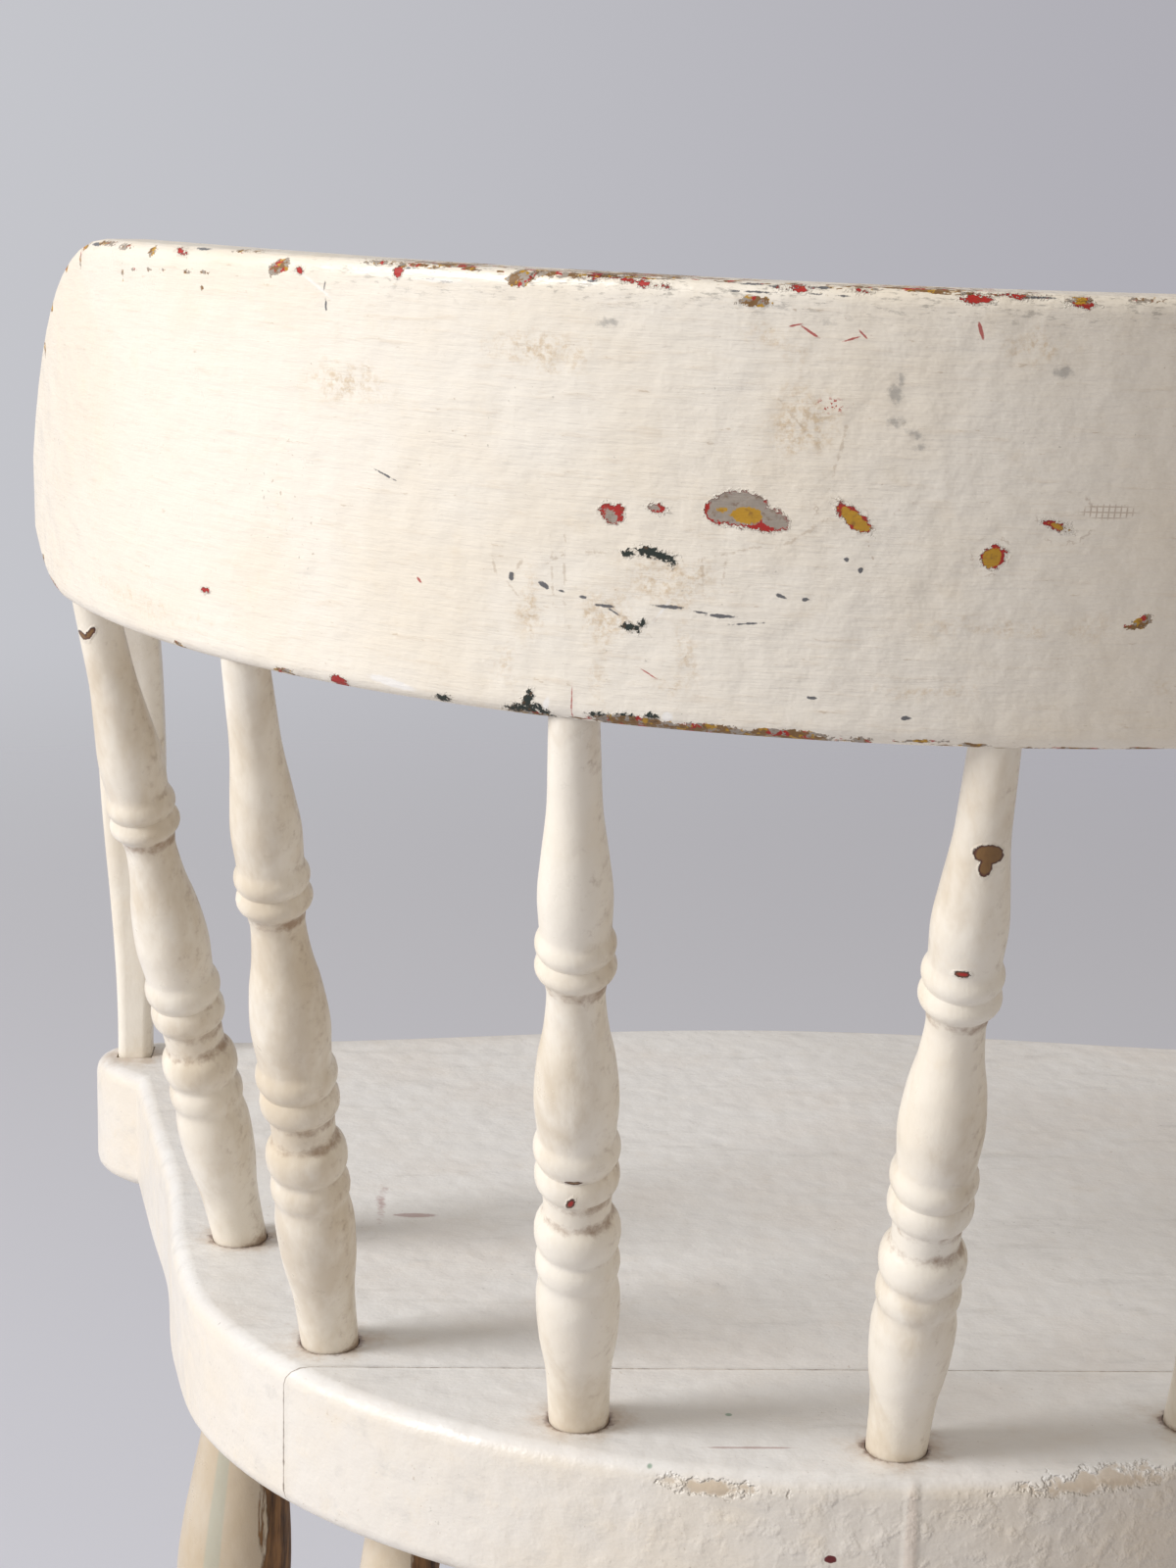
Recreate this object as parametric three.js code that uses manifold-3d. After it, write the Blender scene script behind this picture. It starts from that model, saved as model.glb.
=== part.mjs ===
// A low-back spindle armchair of painted wood, seen as it stands on the floor.
// Millimetres, +Z up. The sitter faces +Y, so the curved back stands on the -Y side.
// Plan sizes are measured from the foot of the middle back spindle, and the whole
// chair is centred on its own box at the end.

import * as THREE from "three";
import { mergeVertices } from "three/addons/utils/BufferGeometryUtils.js";
import Module from "manifold-3d";

const wasm = await Module();
wasm.setup();

// Driving dimensions of the seat.
const SEAT_TOP = 430;
const SEAT_THICK = 40;
const SEAT_ARRIS = 5;
const SEAT_BACK_MARGIN = 19;
const SEAT_WAIST_HALF = 193;
const SEAT_WAIST_BEYOND_CURVE = 15.2;
const SEAT_EAR_HALF = 239;
const SEAT_EAR_Y = 303;
const SEAT_EAR_CORNER = 14;
const SEAT_FRONT_Y = 317;
const SEAT_FRONT_BOW = 21;
const GLUE_LINE_Y = 45;
const GLUE_GAP = 0.3;

// The back: seven spindles whose feet stand on one curve and whose tops meet another.
const FOOT_SPACING = 80;
const TOP_STATIONS = [0, 89, 182, 266];
const SPINDLE_COUNT = 2 * TOP_STATIONS.length - 1;
const FOOT_CURVE_RADIUS = 213.5;
const FOOT_CURVE_TIGHTENING = 9.0e-8;
const CREST_CURVE_RADIUS = 203.2;
const CREST_CURVE_TIGHTENING = -1.92e-8;
const SPINDLE_FOOT_RADIUS = 7.6;
const SPINDLE_TOP_RADIUS = 5.5;
const SPINDLE_BULGE_RADIUS = 8.6;
const SPINDLE_BEAD_RADIUS = 10.3;
const SPINDLE_NECK_RADIUS = 6.7;
const SPINDLE_VASE_RADIUS = 10.1;
const SPINDLE_TENON_RADIUS = 4.5;
const SPINDLE_TENON = 14;
const SPINDLE_SHOULDER = 2.5;
const SPINDLE_SOCKET = 25;

// The crest board, bent round the back and leaning rearwards.
const CREST_LOW = 195.2;
const CREST_HEIGHT = 93.7;
const CREST_THICK = 16;
const CREST_HALF_LENGTH = 306;
const CREST_EDGE_ROUND = 3.5;
const CREST_TOP_CORNER = { reach: 73, drop: 62 };
const CREST_LOW_CORNER = { reach: 40, drop: 14 };
const CREST_END_DROP = 5;
const CREST_RAKE_LOW = 77.6;
const CREST_LEAN = 0.343;
const CREST_LEAN_FADE = 1.3;
const BACK_SLANT = 0.0084;

// The bent arms that rise from the seat's ears and run back to the crest board.
const ARM_FOOT_INSET = 18;
const ARM_FOOT_HALF = SEAT_EAR_HALF - ARM_FOOT_INSET;
const ARM_FOOT_Y = SEAT_EAR_Y - 1;
const ARM_TENON_DEPTH = 24;
const ARM_FOOT_WIDTH = 11.5;
const ARM_WIDTH = 22;
const ARM_THICK = 12;
const ARM_ABOVE_CREST_LOW = 16.8;
const ARM_HEIGHT = CREST_LOW + ARM_ABOVE_CREST_LOW;
const ARM_SHOULDER_HEIGHT = 140;
const ARM_SHOULDER_INSET = 1.2;
const ARM_REAR_INSET = 7;
const ARM_LAP = 46;

// Screws that hold each arm to the crest board, driven from the sitter's side.
const SCREW_RADIUS = 2;
const SCREW_HEAD_RADIUS = 4;
const SCREW_HEAD = 2.4;
const SCREW_SINK = 0.6;
const SCREW_END_DISTANCE = 14;
const SCREW_SPACING = 22;
const SCREW_LENGTH = 33;

// Turned legs.
const LEG_TENON_RADIUS = 10;
const LEG_SOCKET = 25;
const LEG_RADIUS = 20;
const LEG_NECK_RADIUS = 10.5;
const LEG_FOOT_RADIUS = 11;
const LEG_RING_DEPTH = 54;
const LEG_SWELL_DEPTH = 152;
const LEG_LOW_RING_DEPTH = 203;
const LEG_LOW_SWELL_DEPTH = 240;
const FRONT_LEG_INSET = 63;
const FRONT_LEG_SETBACK = 41;
const FRONT_LEG_TOP_HALF = SEAT_EAR_HALF - FRONT_LEG_INSET;
const FRONT_LEG_TOP_Y = SEAT_EAR_Y - FRONT_LEG_SETBACK;
const FRONT_LEG_SPLAY = 28;
const FRONT_LEG_RAKE = 56;
const REAR_LEG_TOP_HALF = 120;
const REAR_LEG_TOP_Y = 62;
const REAR_LEG_SPLAY = 56;
const REAR_LEG_RAKE = 70;

// Turned stretchers between the legs, by the height of their middle line.
const STRETCHER_RADIUS = 10;
const STRETCHER_END_RADIUS = 6.5;
const STRETCHER_INSET = 1.5;
const SIDE_STRETCHER_HEIGHT = 150;
const FRONT_STRETCHER_HEIGHT = 185;
const REAR_STRETCHER_HEIGHT = 172;

// Clearance that every glued joint keeps.
const FIT = 0.3;
const TURNED_SIDES = 10;
const HOLE_SIDES = 12;

const WHITE_PAINT = new THREE.MeshStandardMaterial({ color: 0xefe8da, roughness: 0.32, metalness: 0 });
const SEAT_PAINT = new THREE.MeshStandardMaterial({ color: 0xe6e2da, roughness: 0.35, metalness: 0 });
const SCREW_PAINT = new THREE.MeshStandardMaterial({ color: 0xd9cfbc, roughness: 0.5, metalness: 0.2 });

// Solids and booleans.
function toSolid(geometry) {
  const bare = geometry.clone();
  bare.deleteAttribute("normal");
  bare.deleteAttribute("uv");
  const merged = mergeVertices(bare, 1e-4);
  return new wasm.Manifold(new wasm.Mesh({
    numProp: 3,
    vertProperties: new Float32Array(merged.attributes.position.array),
    triVerts: new Uint32Array(merged.index.array),
  }));
}

function toGeometry(solid) {
  const mesh = solid.getMesh();
  const geometry = new THREE.BufferGeometry();
  geometry.setAttribute("position", new THREE.BufferAttribute(mesh.vertProperties, 3));
  geometry.setIndex(new THREE.BufferAttribute(mesh.triVerts, 1));
  geometry.computeVertexNormals();
  return geometry;
}

// A closed skin through rings of points, each ring counter-clockwise about the path.
function loft(rings) {
  const sides = rings[0].length;
  const points = rings.flat();
  const faces = [];
  for (let i = 0; i < rings.length - 1; i += 1) {
    for (let j = 0; j < sides; j += 1) {
      const a = i * sides + j;
      const b = i * sides + (j + 1) % sides;
      faces.push(a, b, b + sides, a, b + sides, a + sides);
    }
  }
  const last = (rings.length - 1) * sides;
  for (let j = 1; j < sides - 1; j += 1) {
    faces.push(0, j + 1, j);
    faces.push(last, last + j, last + j + 1);
  }
  const geometry = new THREE.BufferGeometry();
  const numbers = points.flatMap((p) => p.toArray());
  geometry.setAttribute("position", new THREE.Float32BufferAttribute(numbers, 3));
  geometry.setIndex(faces);
  return geometry;
}

// A turned piece from one point to another, its profile given as [distance, radius].
function turned(from, to, profile, sides = TURNED_SIDES) {
  const length = from.distanceTo(to);
  const points = [new THREE.Vector2(0, profile[0][0])];
  for (const [distance, radius] of profile) {
    points.push(new THREE.Vector2(radius, distance));
  }
  points.push(new THREE.Vector2(0, profile[profile.length - 1][0]));
  const geometry = new THREE.LatheGeometry(points, sides);
  const axis = to.clone().sub(from).divideScalar(length);
  const turn = new THREE.Quaternion().setFromUnitVectors(new THREE.Vector3(0, 1, 0), axis);
  geometry.applyQuaternion(turn);
  geometry.translate(from.x, from.y, from.z);
  return geometry;
}

// A drilled hole: its flats, not its corners, lie at the radius.
function drill(from, to, radius) {
  const length = from.distanceTo(to);
  const corner = radius / Math.cos(Math.PI / HOLE_SIDES);
  return toSolid(turned(from, to, [[0, corner], [length, corner]], HOLE_SIDES));
}

// A plan curve that starts at the middle of the back and tightens towards its ends.
function bend(radius, tightening, distance) {
  const steps = 60;
  const reach = Math.abs(distance);
  const point = new THREE.Vector3();
  const angleAt = (s) => s / radius + (tightening * s ** 3) / 3;
  for (let i = 0; i < steps; i += 1) {
    const angle = angleAt(((i + 0.5) / steps) * reach);
    point.x += (Math.cos(angle) * reach) / steps;
    point.y += (Math.sin(angle) * reach) / steps;
  }
  const side = Math.sign(distance) || 1;
  const angle = angleAt(reach);
  point.x *= side;
  const outward = new THREE.Vector3(side * Math.sin(angle), -Math.cos(angle), 0);
  return { point, outward };
}

function footPlace(distance) {
  return bend(FOOT_CURVE_RADIUS, FOOT_CURVE_TIGHTENING, distance);
}

// A place in the crest board: along its length, across its thickness and up its height.
function crestPlace(distance, across, up) {
  const { point, outward } = bend(CREST_CURVE_RADIUS, CREST_CURVE_TIGHTENING, distance);
  const place = point.clone().addScaledVector(outward, across);
  const lean = CREST_LEAN * Math.max(-outward.y, 0) ** CREST_LEAN_FADE;
  const drop = CREST_END_DROP * (distance / CREST_HALF_LENGTH) ** 4 * (up / CREST_HEIGHT);
  place.y -= CREST_RAKE_LOW + lean * up;
  place.z = SEAT_TOP + CREST_LOW + up - drop - BACK_SLANT * place.x;
  return place;
}

// The seat, glued up from two boards across its depth.
function seatOutline() {
  const outline = new THREE.Shape();
  const rear = [];
  const stations = 7;
  const rearReach = (SPINDLE_COUNT - 1) / 2 * FOOT_SPACING;
  for (let i = 0; i <= stations; i += 1) {
    const { point, outward } = footPlace((i / stations) * rearReach * 0.97);
    rear.push(point.addScaledVector(outward, SEAT_BACK_MARGIN));
  }
  const waistY = rear[stations].y + SEAT_WAIST_BEYOND_CURVE;
  const side = [
    [SEAT_WAIST_HALF, waistY],
    [SEAT_WAIST_HALF + 5, waistY + 40],
    [SEAT_WAIST_HALF + 15, waistY + 86],
    [SEAT_EAR_HALF - 21, SEAT_EAR_Y - 28],
  ].map(([x, y]) => new THREE.Vector3(x, y, 0));
  const edge = new THREE.CatmullRomCurve3([...rear, ...side], false, "centripetal");
  const half = edge.getPoints(18).map((p) => new THREE.Vector2(p.x, p.y));
  const corner = new THREE.CubicBezierCurve(
    new THREE.Vector2(SEAT_EAR_HALF - 21, SEAT_EAR_Y - 28),
    new THREE.Vector2(SEAT_EAR_HALF, SEAT_EAR_Y - SEAT_EAR_CORNER),
    new THREE.Vector2(SEAT_EAR_HALF + 4, SEAT_EAR_Y + SEAT_EAR_CORNER),
    new THREE.Vector2(SEAT_EAR_HALF - 31, SEAT_FRONT_Y),
  ).getPoints(5).slice(1);
  const front = [];
  const frontHalf = SEAT_EAR_HALF - 31;
  const frontSteps = 5;
  for (let i = 1; i <= frontSteps; i += 1) {
    const x = frontHalf * (1 - i / frontSteps);
    const swell = Math.cos((x / frontHalf) * Math.PI) * 0.5 + 0.5;
    front.push(new THREE.Vector2(x, SEAT_FRONT_Y + SEAT_FRONT_BOW * swell));
  }
  const right = [...half, ...corner, ...front];
  const left = right.slice(1, -1).reverse().map((p) => new THREE.Vector2(-p.x, p.y));
  outline.setFromPoints([...right, ...left]);
  return outline;
}

function seatBlank() {
  const geometry = new THREE.ExtrudeGeometry(seatOutline(), {
    depth: SEAT_THICK - 2 * SEAT_ARRIS,
    bevelEnabled: true,
    bevelThickness: SEAT_ARRIS,
    bevelSize: SEAT_ARRIS,
    bevelOffset: -SEAT_ARRIS,
    bevelSegments: 2,
    curveSegments: 1,
  });
  geometry.translate(0, 0, SEAT_TOP - SEAT_THICK + SEAT_ARRIS);
  return toSolid(geometry);
}

function halfSpaceBox(yFrom, yTo) {
  const reach = 2 * SEAT_EAR_HALF + 100;
  const geometry = new THREE.BoxGeometry(reach, yTo - yFrom, reach);
  geometry.translate(0, (yFrom + yTo) / 2, SEAT_TOP);
  return toSolid(geometry);
}

// Back spindles.
const spindleAxes = [];
for (let i = 0; i < SPINDLE_COUNT; i += 1) {
  const place = i - (SPINDLE_COUNT - 1) / 2;
  const foot = footPlace(place * FOOT_SPACING).point.clone();
  foot.z = SEAT_TOP;
  const top = crestPlace(Math.sign(place) * TOP_STATIONS[Math.abs(place)], 0, 0);
  spindleAxes.push({ foot, top, along: top.clone().sub(foot).normalize() });
}

// A rounded bead between two depths of a turned piece.
function bead(middle, halfWidth, radius, groove) {
  return [
    [middle - halfWidth, groove],
    [middle - halfWidth * 0.45, radius],
    [middle + halfWidth * 0.45, radius],
    [middle + halfWidth, groove],
  ];
}

// Places are shares of the shown length, measured down from the crest board.
function spindleProfile(shown) {
  const down = (share) => shown * (1 - share);
  const ring = (share, halfShare, radius, groove) => (
    bead(down(share), shown * halfShare, radius, groove).reverse()
  );
  const profile = [
    [shown + SPINDLE_TENON, SPINDLE_TENON_RADIUS],
    [shown + SPINDLE_SHOULDER, SPINDLE_TENON_RADIUS],
    [shown + SPINDLE_SHOULDER - 0.2, SPINDLE_TOP_RADIUS],
    [down(0.115), SPINDLE_TOP_RADIUS + 0.7],
    [down(0.177), SPINDLE_BULGE_RADIUS - 1],
    [down(0.222), SPINDLE_BULGE_RADIUS],
    [down(0.262), SPINDLE_BULGE_RADIUS - 0.6],
    ...ring(0.286, 0.016, SPINDLE_BEAD_RADIUS - 1, SPINDLE_BULGE_RADIUS - 0.4),
    ...ring(0.315, 0.0145, SPINDLE_BEAD_RADIUS - 0.8, SPINDLE_NECK_RADIUS + 0.8),
    [down(0.353), SPINDLE_NECK_RADIUS],
    [down(0.4), SPINDLE_NECK_RADIUS + 0.8],
    [down(0.441), SPINDLE_VASE_RADIUS - 1.1],
    [down(0.497), SPINDLE_VASE_RADIUS],
    [down(0.54), SPINDLE_VASE_RADIUS - 0.5],
    ...ring(0.57, 0.018, SPINDLE_BEAD_RADIUS, SPINDLE_BEAD_RADIUS - 1.2),
    ...ring(0.609, 0.0205, SPINDLE_BEAD_RADIUS - 0.2, SPINDLE_NECK_RADIUS + 1.5),
    [down(0.66), SPINDLE_NECK_RADIUS + 1.5],
    ...ring(0.694, 0.026, SPINDLE_BEAD_RADIUS + 0.2, SPINDLE_BEAD_RADIUS - 1.2),
    ...ring(0.741, 0.021, SPINDLE_BEAD_RADIUS, SPINDLE_BEAD_RADIUS - 0.8),
    [down(0.794), SPINDLE_BULGE_RADIUS + 2],
    [down(0.857), SPINDLE_BULGE_RADIUS + 1.1],
    [down(0.913), SPINDLE_FOOT_RADIUS + 0.6],
    [0, SPINDLE_FOOT_RADIUS],
    [-SPINDLE_SOCKET, SPINDLE_FOOT_RADIUS - 0.5],
  ];
  return profile.reverse().filter(([place], i, all) => i === 0 || place > all[i - 1][0] + 1e-6);
}

// Legs run from a blind socket under the seat to the floor.
const LEG_PLACES = [];
for (const [side, sign] of [["left", -1], ["right", 1]]) {
  LEG_PLACES.push({
    name: `front_leg_${side}`,
    top: new THREE.Vector3(sign * FRONT_LEG_TOP_HALF, FRONT_LEG_TOP_Y, SEAT_TOP - SEAT_THICK),
    foot: new THREE.Vector3(
      sign * (FRONT_LEG_TOP_HALF + FRONT_LEG_SPLAY), FRONT_LEG_TOP_Y + FRONT_LEG_RAKE, 0,
    ),
  });
  LEG_PLACES.push({
    name: `rear_leg_${side}`,
    top: new THREE.Vector3(sign * REAR_LEG_TOP_HALF, REAR_LEG_TOP_Y, SEAT_TOP - SEAT_THICK),
    foot: new THREE.Vector3(
      sign * (REAR_LEG_TOP_HALF + REAR_LEG_SPLAY), REAR_LEG_TOP_Y - REAR_LEG_RAKE, 0,
    ),
  });
}

function legProfile(shown) {
  const down = (distance) => shown - distance;
  const profile = [
    [shown + LEG_SOCKET, LEG_TENON_RADIUS],
    [shown, LEG_TENON_RADIUS],
    [down(0.5), LEG_NECK_RADIUS],
    [down(LEG_RING_DEPTH - 10), LEG_NECK_RADIUS],
    ...bead(down(LEG_RING_DEPTH), 7, LEG_NECK_RADIUS + 3.5, LEG_NECK_RADIUS + 0.6).reverse(),
    [down(LEG_RING_DEPTH + 12), LEG_NECK_RADIUS + 1.2],
    [down(LEG_SWELL_DEPTH - 52), LEG_RADIUS - 4.6],
    [down(LEG_SWELL_DEPTH - 22), LEG_RADIUS - 0.8],
    [down(LEG_SWELL_DEPTH), LEG_RADIUS],
    [down(LEG_SWELL_DEPTH + 24), LEG_RADIUS - 2.2],
    [down(LEG_LOW_RING_DEPTH - 11), LEG_RADIUS - 6.5],
    ...bead(down(LEG_LOW_RING_DEPTH), 7, LEG_RADIUS - 2, LEG_RADIUS - 6).reverse(),
    [down(LEG_LOW_RING_DEPTH + 15), LEG_RADIUS - 6.5],
    [down(LEG_LOW_SWELL_DEPTH), LEG_RADIUS - 3.2],
    [down(LEG_LOW_SWELL_DEPTH + 32), LEG_RADIUS - 4.4],
    [down(LEG_LOW_SWELL_DEPTH + 90), LEG_FOOT_RADIUS + 1.5],
    [0, LEG_FOOT_RADIUS],
  ];
  return profile.reverse();
}

// The foot is cut flat on the floor, so the turned leg starts a little below it.
function legSolid({ top, foot }) {
  const along = top.clone().sub(foot).normalize();
  const shown = top.distanceTo(foot);
  const profile = legProfile(shown);
  profile[0] = [-LEG_FOOT_RADIUS, LEG_FOOT_RADIUS];
  const end = top.clone().addScaledVector(along, LEG_SOCKET);
  const leg = toSolid(turned(foot, end, profile));
  const reach = 200;
  const floorBox = new THREE.BoxGeometry(reach, reach, reach);
  floorBox.translate(foot.x, foot.y, -reach / 2);
  return leg.subtract(toSolid(floorBox));
}

function legSocket({ top, foot }) {
  const along = top.clone().sub(foot).normalize();
  const below = top.clone().addScaledVector(along, -LEG_TENON_RADIUS);
  const inside = top.clone().addScaledVector(along, LEG_SOCKET + FIT);
  return drill(below, inside, LEG_TENON_RADIUS + 1 + FIT);
}

function legPointAt({ top, foot }, height) {
  return foot.clone().lerp(top, height / (SEAT_TOP - SEAT_THICK));
}

// Arms: a strip that stands in the seat's ear, bends back and laps inside the crest board.
function armPath(sign) {
  const inset = -CREST_THICK / 2 - ARM_WIDTH / 2;
  const lap = crestPlace(sign * (CREST_HALF_LENGTH - 10), inset, ARM_ABOVE_CREST_LOW);
  const rear = crestPlace(sign * (CREST_HALF_LENGTH - ARM_LAP), inset, ARM_ABOVE_CREST_LOW);
  const top = SEAT_TOP + ARM_HEIGHT;
  const shoulder = SEAT_TOP + ARM_SHOULDER_HEIGHT;
  const foot = sign * ARM_FOOT_HALF;
  const upright = foot - sign * ARM_SHOULDER_INSET;
  return new THREE.CatmullRomCurve3([
    new THREE.Vector3(foot, ARM_FOOT_Y, SEAT_TOP - ARM_TENON_DEPTH),
    new THREE.Vector3(foot, ARM_FOOT_Y, SEAT_TOP),
    new THREE.Vector3(upright, ARM_FOOT_Y - 6, (SEAT_TOP + shoulder) / 2),
    new THREE.Vector3(upright, ARM_FOOT_Y - 20, shoulder),
    new THREE.Vector3(upright, ARM_FOOT_Y - 62, top - 18),
    new THREE.Vector3(foot - sign * ARM_REAR_INSET, ARM_FOOT_Y - 125, top - 4),
    new THREE.Vector3(lap.x, lap.y, top),
    new THREE.Vector3(rear.x, rear.y, top + 1),
  ], false, "centripetal");
}

function armSection(width, thick) {
  const round = Math.min(thick, width) * 0.28;
  const x = width / 2;
  const y = thick / 2;
  return [
    [-x, -y + round], [-x + round, -y], [x - round, -y], [x, -y + round],
    [x, y - round], [x - round, y], [-x + round, y], [-x, y - round],
  ];
}

function armBlank(sign) {
  const path = armPath(sign);
  const steps = 20;
  const rings = [];
  for (let i = 0; i <= steps; i += 1) {
    const at = i / steps;
    const place = path.getPointAt(at);
    const along = path.getTangentAt(at);
    const across = new THREE.Vector3(-along.y, along.x, 0);
    if (across.length() < 0.35) {
      across.set(1, 0, 0);
    }
    const level = new THREE.Vector3(1, 0, 0);
    const share = THREE.MathUtils.smoothstep(SEAT_TOP + ARM_HEIGHT - place.z, 0, 60);
    across.normalize();
    if (across.x < 0) {
      across.negate();
    }
    across.lerp(level, share).normalize();
    across.addScaledVector(along, -across.dot(along)).normalize();
    const up = new THREE.Vector3().crossVectors(along, across).normalize();
    const climb = THREE.MathUtils.smoothstep(place.z - SEAT_TOP, 5, ARM_SHOULDER_HEIGHT * 0.8);
    const width = THREE.MathUtils.lerp(ARM_FOOT_WIDTH, ARM_WIDTH, climb);
    rings.push(armSection(width, ARM_THICK).map(([x, y]) => (
      place.clone().addScaledVector(across, x).addScaledVector(up, y)
    )));
  }
  return toSolid(loft(rings));
}

function armMortise(sign) {
  const width = ARM_FOOT_WIDTH + 2 * FIT;
  const thick = ARM_THICK + 2 * FIT;
  const geometry = new THREE.BoxGeometry(width, thick, 2 * (ARM_TENON_DEPTH + FIT));
  geometry.translate(sign * ARM_FOOT_HALF, ARM_FOOT_Y, SEAT_TOP);
  return toSolid(geometry);
}

// Screws through the edge of each arm into the crest board.
const screws = [];
for (const [side, sign] of [["left", -1], ["right", 1]]) {
  for (let i = 0; i < 2; i += 1) {
    const distance = sign * (CREST_HALF_LENGTH - SCREW_END_DISTANCE - i * SCREW_SPACING);
    const head = crestPlace(distance, SCREW_SINK - CREST_THICK / 2 - ARM_WIDTH, ARM_ABOVE_CREST_LOW);
    const outside = crestPlace(distance, CREST_THICK / 2, ARM_ABOVE_CREST_LOW);
    const along = outside.clone().sub(head).normalize();
    screws.push({ name: `arm_screw_${side}_${i + 1}`, head, along });
  }
}

function screwSolid({ head, along }, grow) {
  const tip = head.clone().addScaledVector(along, SCREW_LENGTH);
  const start = grow > 0 ? -SCREW_HEAD_RADIUS : 0;
  return toSolid(turned(head, tip, [
    [start, SCREW_HEAD_RADIUS + grow],
    [0.4, SCREW_HEAD_RADIUS + grow],
    [SCREW_HEAD, SCREW_RADIUS + grow],
    [SCREW_LENGTH + grow, SCREW_RADIUS + grow],
  ], 8));
}

// How much a corner curve takes off the board's edge, by the distance from its end.
function cornerCut({ reach, drop }, fromEnd) {
  return drop * Math.max(1 - fromEnd / reach, 0) ** 2;
}

// The crest board is one bent plank with eased edges and ends that curve away.
function crestBlank(grow = 0) {
  const rings = [];
  const half = CREST_THICK / 2 + grow;
  const middleSteps = 22;
  const straight = CREST_HALF_LENGTH - CREST_TOP_CORNER.reach;
  const ends = [0, 5, 12, 20, 30, 42, 56];
  const stations = [
    ...ends.map((fromEnd) => fromEnd - CREST_HALF_LENGTH),
    ...Array.from({ length: middleSteps + 1 }, (_, i) => straight * ((2 * i) / middleSteps - 1)),
    ...ends.reverse().map((fromEnd) => CREST_HALF_LENGTH - fromEnd),
  ];
  for (const distance of stations) {
    const fromEnd = CREST_HALF_LENGTH - Math.abs(distance);
    const low = cornerCut(CREST_LOW_CORNER, fromEnd) - grow;
    const high = CREST_HEIGHT - cornerCut(CREST_TOP_CORNER, fromEnd) + grow;
    const round = CREST_EDGE_ROUND;
    const middle = (low + high) / 2;
    const section = [
      [-half + round, low], [-half, low + round], [-half, middle], [-half, high - round],
      [-half + round, high], [half - round, high], [half, high - round], [half, middle],
      [half, low + round], [half - round, low],
    ];
    rings.push(section.map(([across, up]) => crestPlace(distance, across, up)));
  }
  return toSolid(loft(rings));
}

// Stretchers between two legs.
function stretcher(from, to) {
  const along = to.clone().sub(from).normalize();
  const start = from.clone().addScaledVector(along, STRETCHER_INSET);
  const end = to.clone().addScaledVector(along, -STRETCHER_INSET);
  const length = start.distanceTo(end);
  const middle = length / 2;
  const half = [
    [0, STRETCHER_END_RADIUS],
    [LEG_RADIUS + STRETCHER_RADIUS, STRETCHER_END_RADIUS],
    [middle * 0.62, STRETCHER_RADIUS - 0.8],
    ...bead(middle * 0.72, 5, STRETCHER_RADIUS + 1, STRETCHER_RADIUS - 2.4),
    [middle * 0.82, STRETCHER_RADIUS - 0.6],
    [middle, STRETCHER_RADIUS + 0.8],
  ];
  const other = half.slice(0, -1).reverse().map(([distance, radius]) => [length - distance, radius]);
  const hole = (point, sign) => {
    const inside = point.clone().addScaledVector(along, -sign * FIT);
    return drill(inside, inside.clone().addScaledVector(along, sign * 60), STRETCHER_END_RADIUS + FIT);
  };
  return {
    solid: toSolid(turned(start, end, [...half, ...other], 8)),
    holes: [hole(start, 1), hole(end, -1)],
  };
}

const legs = Object.fromEntries(LEG_PLACES.map((place) => [place.name, place]));
function between(nameA, nameB, height) {
  return stretcher(legPointAt(legs[nameA], height), legPointAt(legs[nameB], height));
}
const stretchers = {
  side_stretcher_left: between("rear_leg_left", "front_leg_left", SIDE_STRETCHER_HEIGHT),
  side_stretcher_right: between("rear_leg_right", "front_leg_right", SIDE_STRETCHER_HEIGHT),
  front_stretcher: between("front_leg_left", "front_leg_right", FRONT_STRETCHER_HEIGHT),
  rear_stretcher: between("rear_leg_left", "rear_leg_right", REAR_STRETCHER_HEIGHT),
};
const stretcherEnds = {
  front_leg_left: [stretchers.side_stretcher_left.holes[1], stretchers.front_stretcher.holes[0]],
  front_leg_right: [stretchers.side_stretcher_right.holes[1], stretchers.front_stretcher.holes[1]],
  rear_leg_left: [stretchers.side_stretcher_left.holes[0], stretchers.rear_stretcher.holes[0]],
  rear_leg_right: [stretchers.side_stretcher_right.holes[0], stretchers.rear_stretcher.holes[1]],
};

// Assembly.
const chair = new THREE.Group();
chair.name = "chair";
function addPiece(name, solid, material) {
  const mesh = new THREE.Mesh(toGeometry(solid), material);
  mesh.name = name;
  chair.add(mesh);
}

let seat = seatBlank();
for (const { foot, along } of spindleAxes) {
  const deep = foot.clone().addScaledVector(along, -SPINDLE_SOCKET - FIT);
  const above = foot.clone().addScaledVector(along, SPINDLE_FOOT_RADIUS);
  seat = seat.subtract(drill(deep, above, SPINDLE_FOOT_RADIUS + FIT));
}
for (const place of LEG_PLACES) {
  seat = seat.subtract(legSocket(place));
}
seat = seat.subtract(armMortise(-1)).subtract(armMortise(1));
const farBack = -SEAT_BACK_MARGIN - 50;
const farFront = SEAT_FRONT_Y + SEAT_FRONT_BOW + 50;
addPiece("seat_main_board", seat.intersect(halfSpaceBox(GLUE_LINE_Y + GLUE_GAP, farFront)), SEAT_PAINT);
addPiece("seat_rear_board", seat.intersect(halfSpaceBox(farBack, GLUE_LINE_Y)), SEAT_PAINT);

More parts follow.
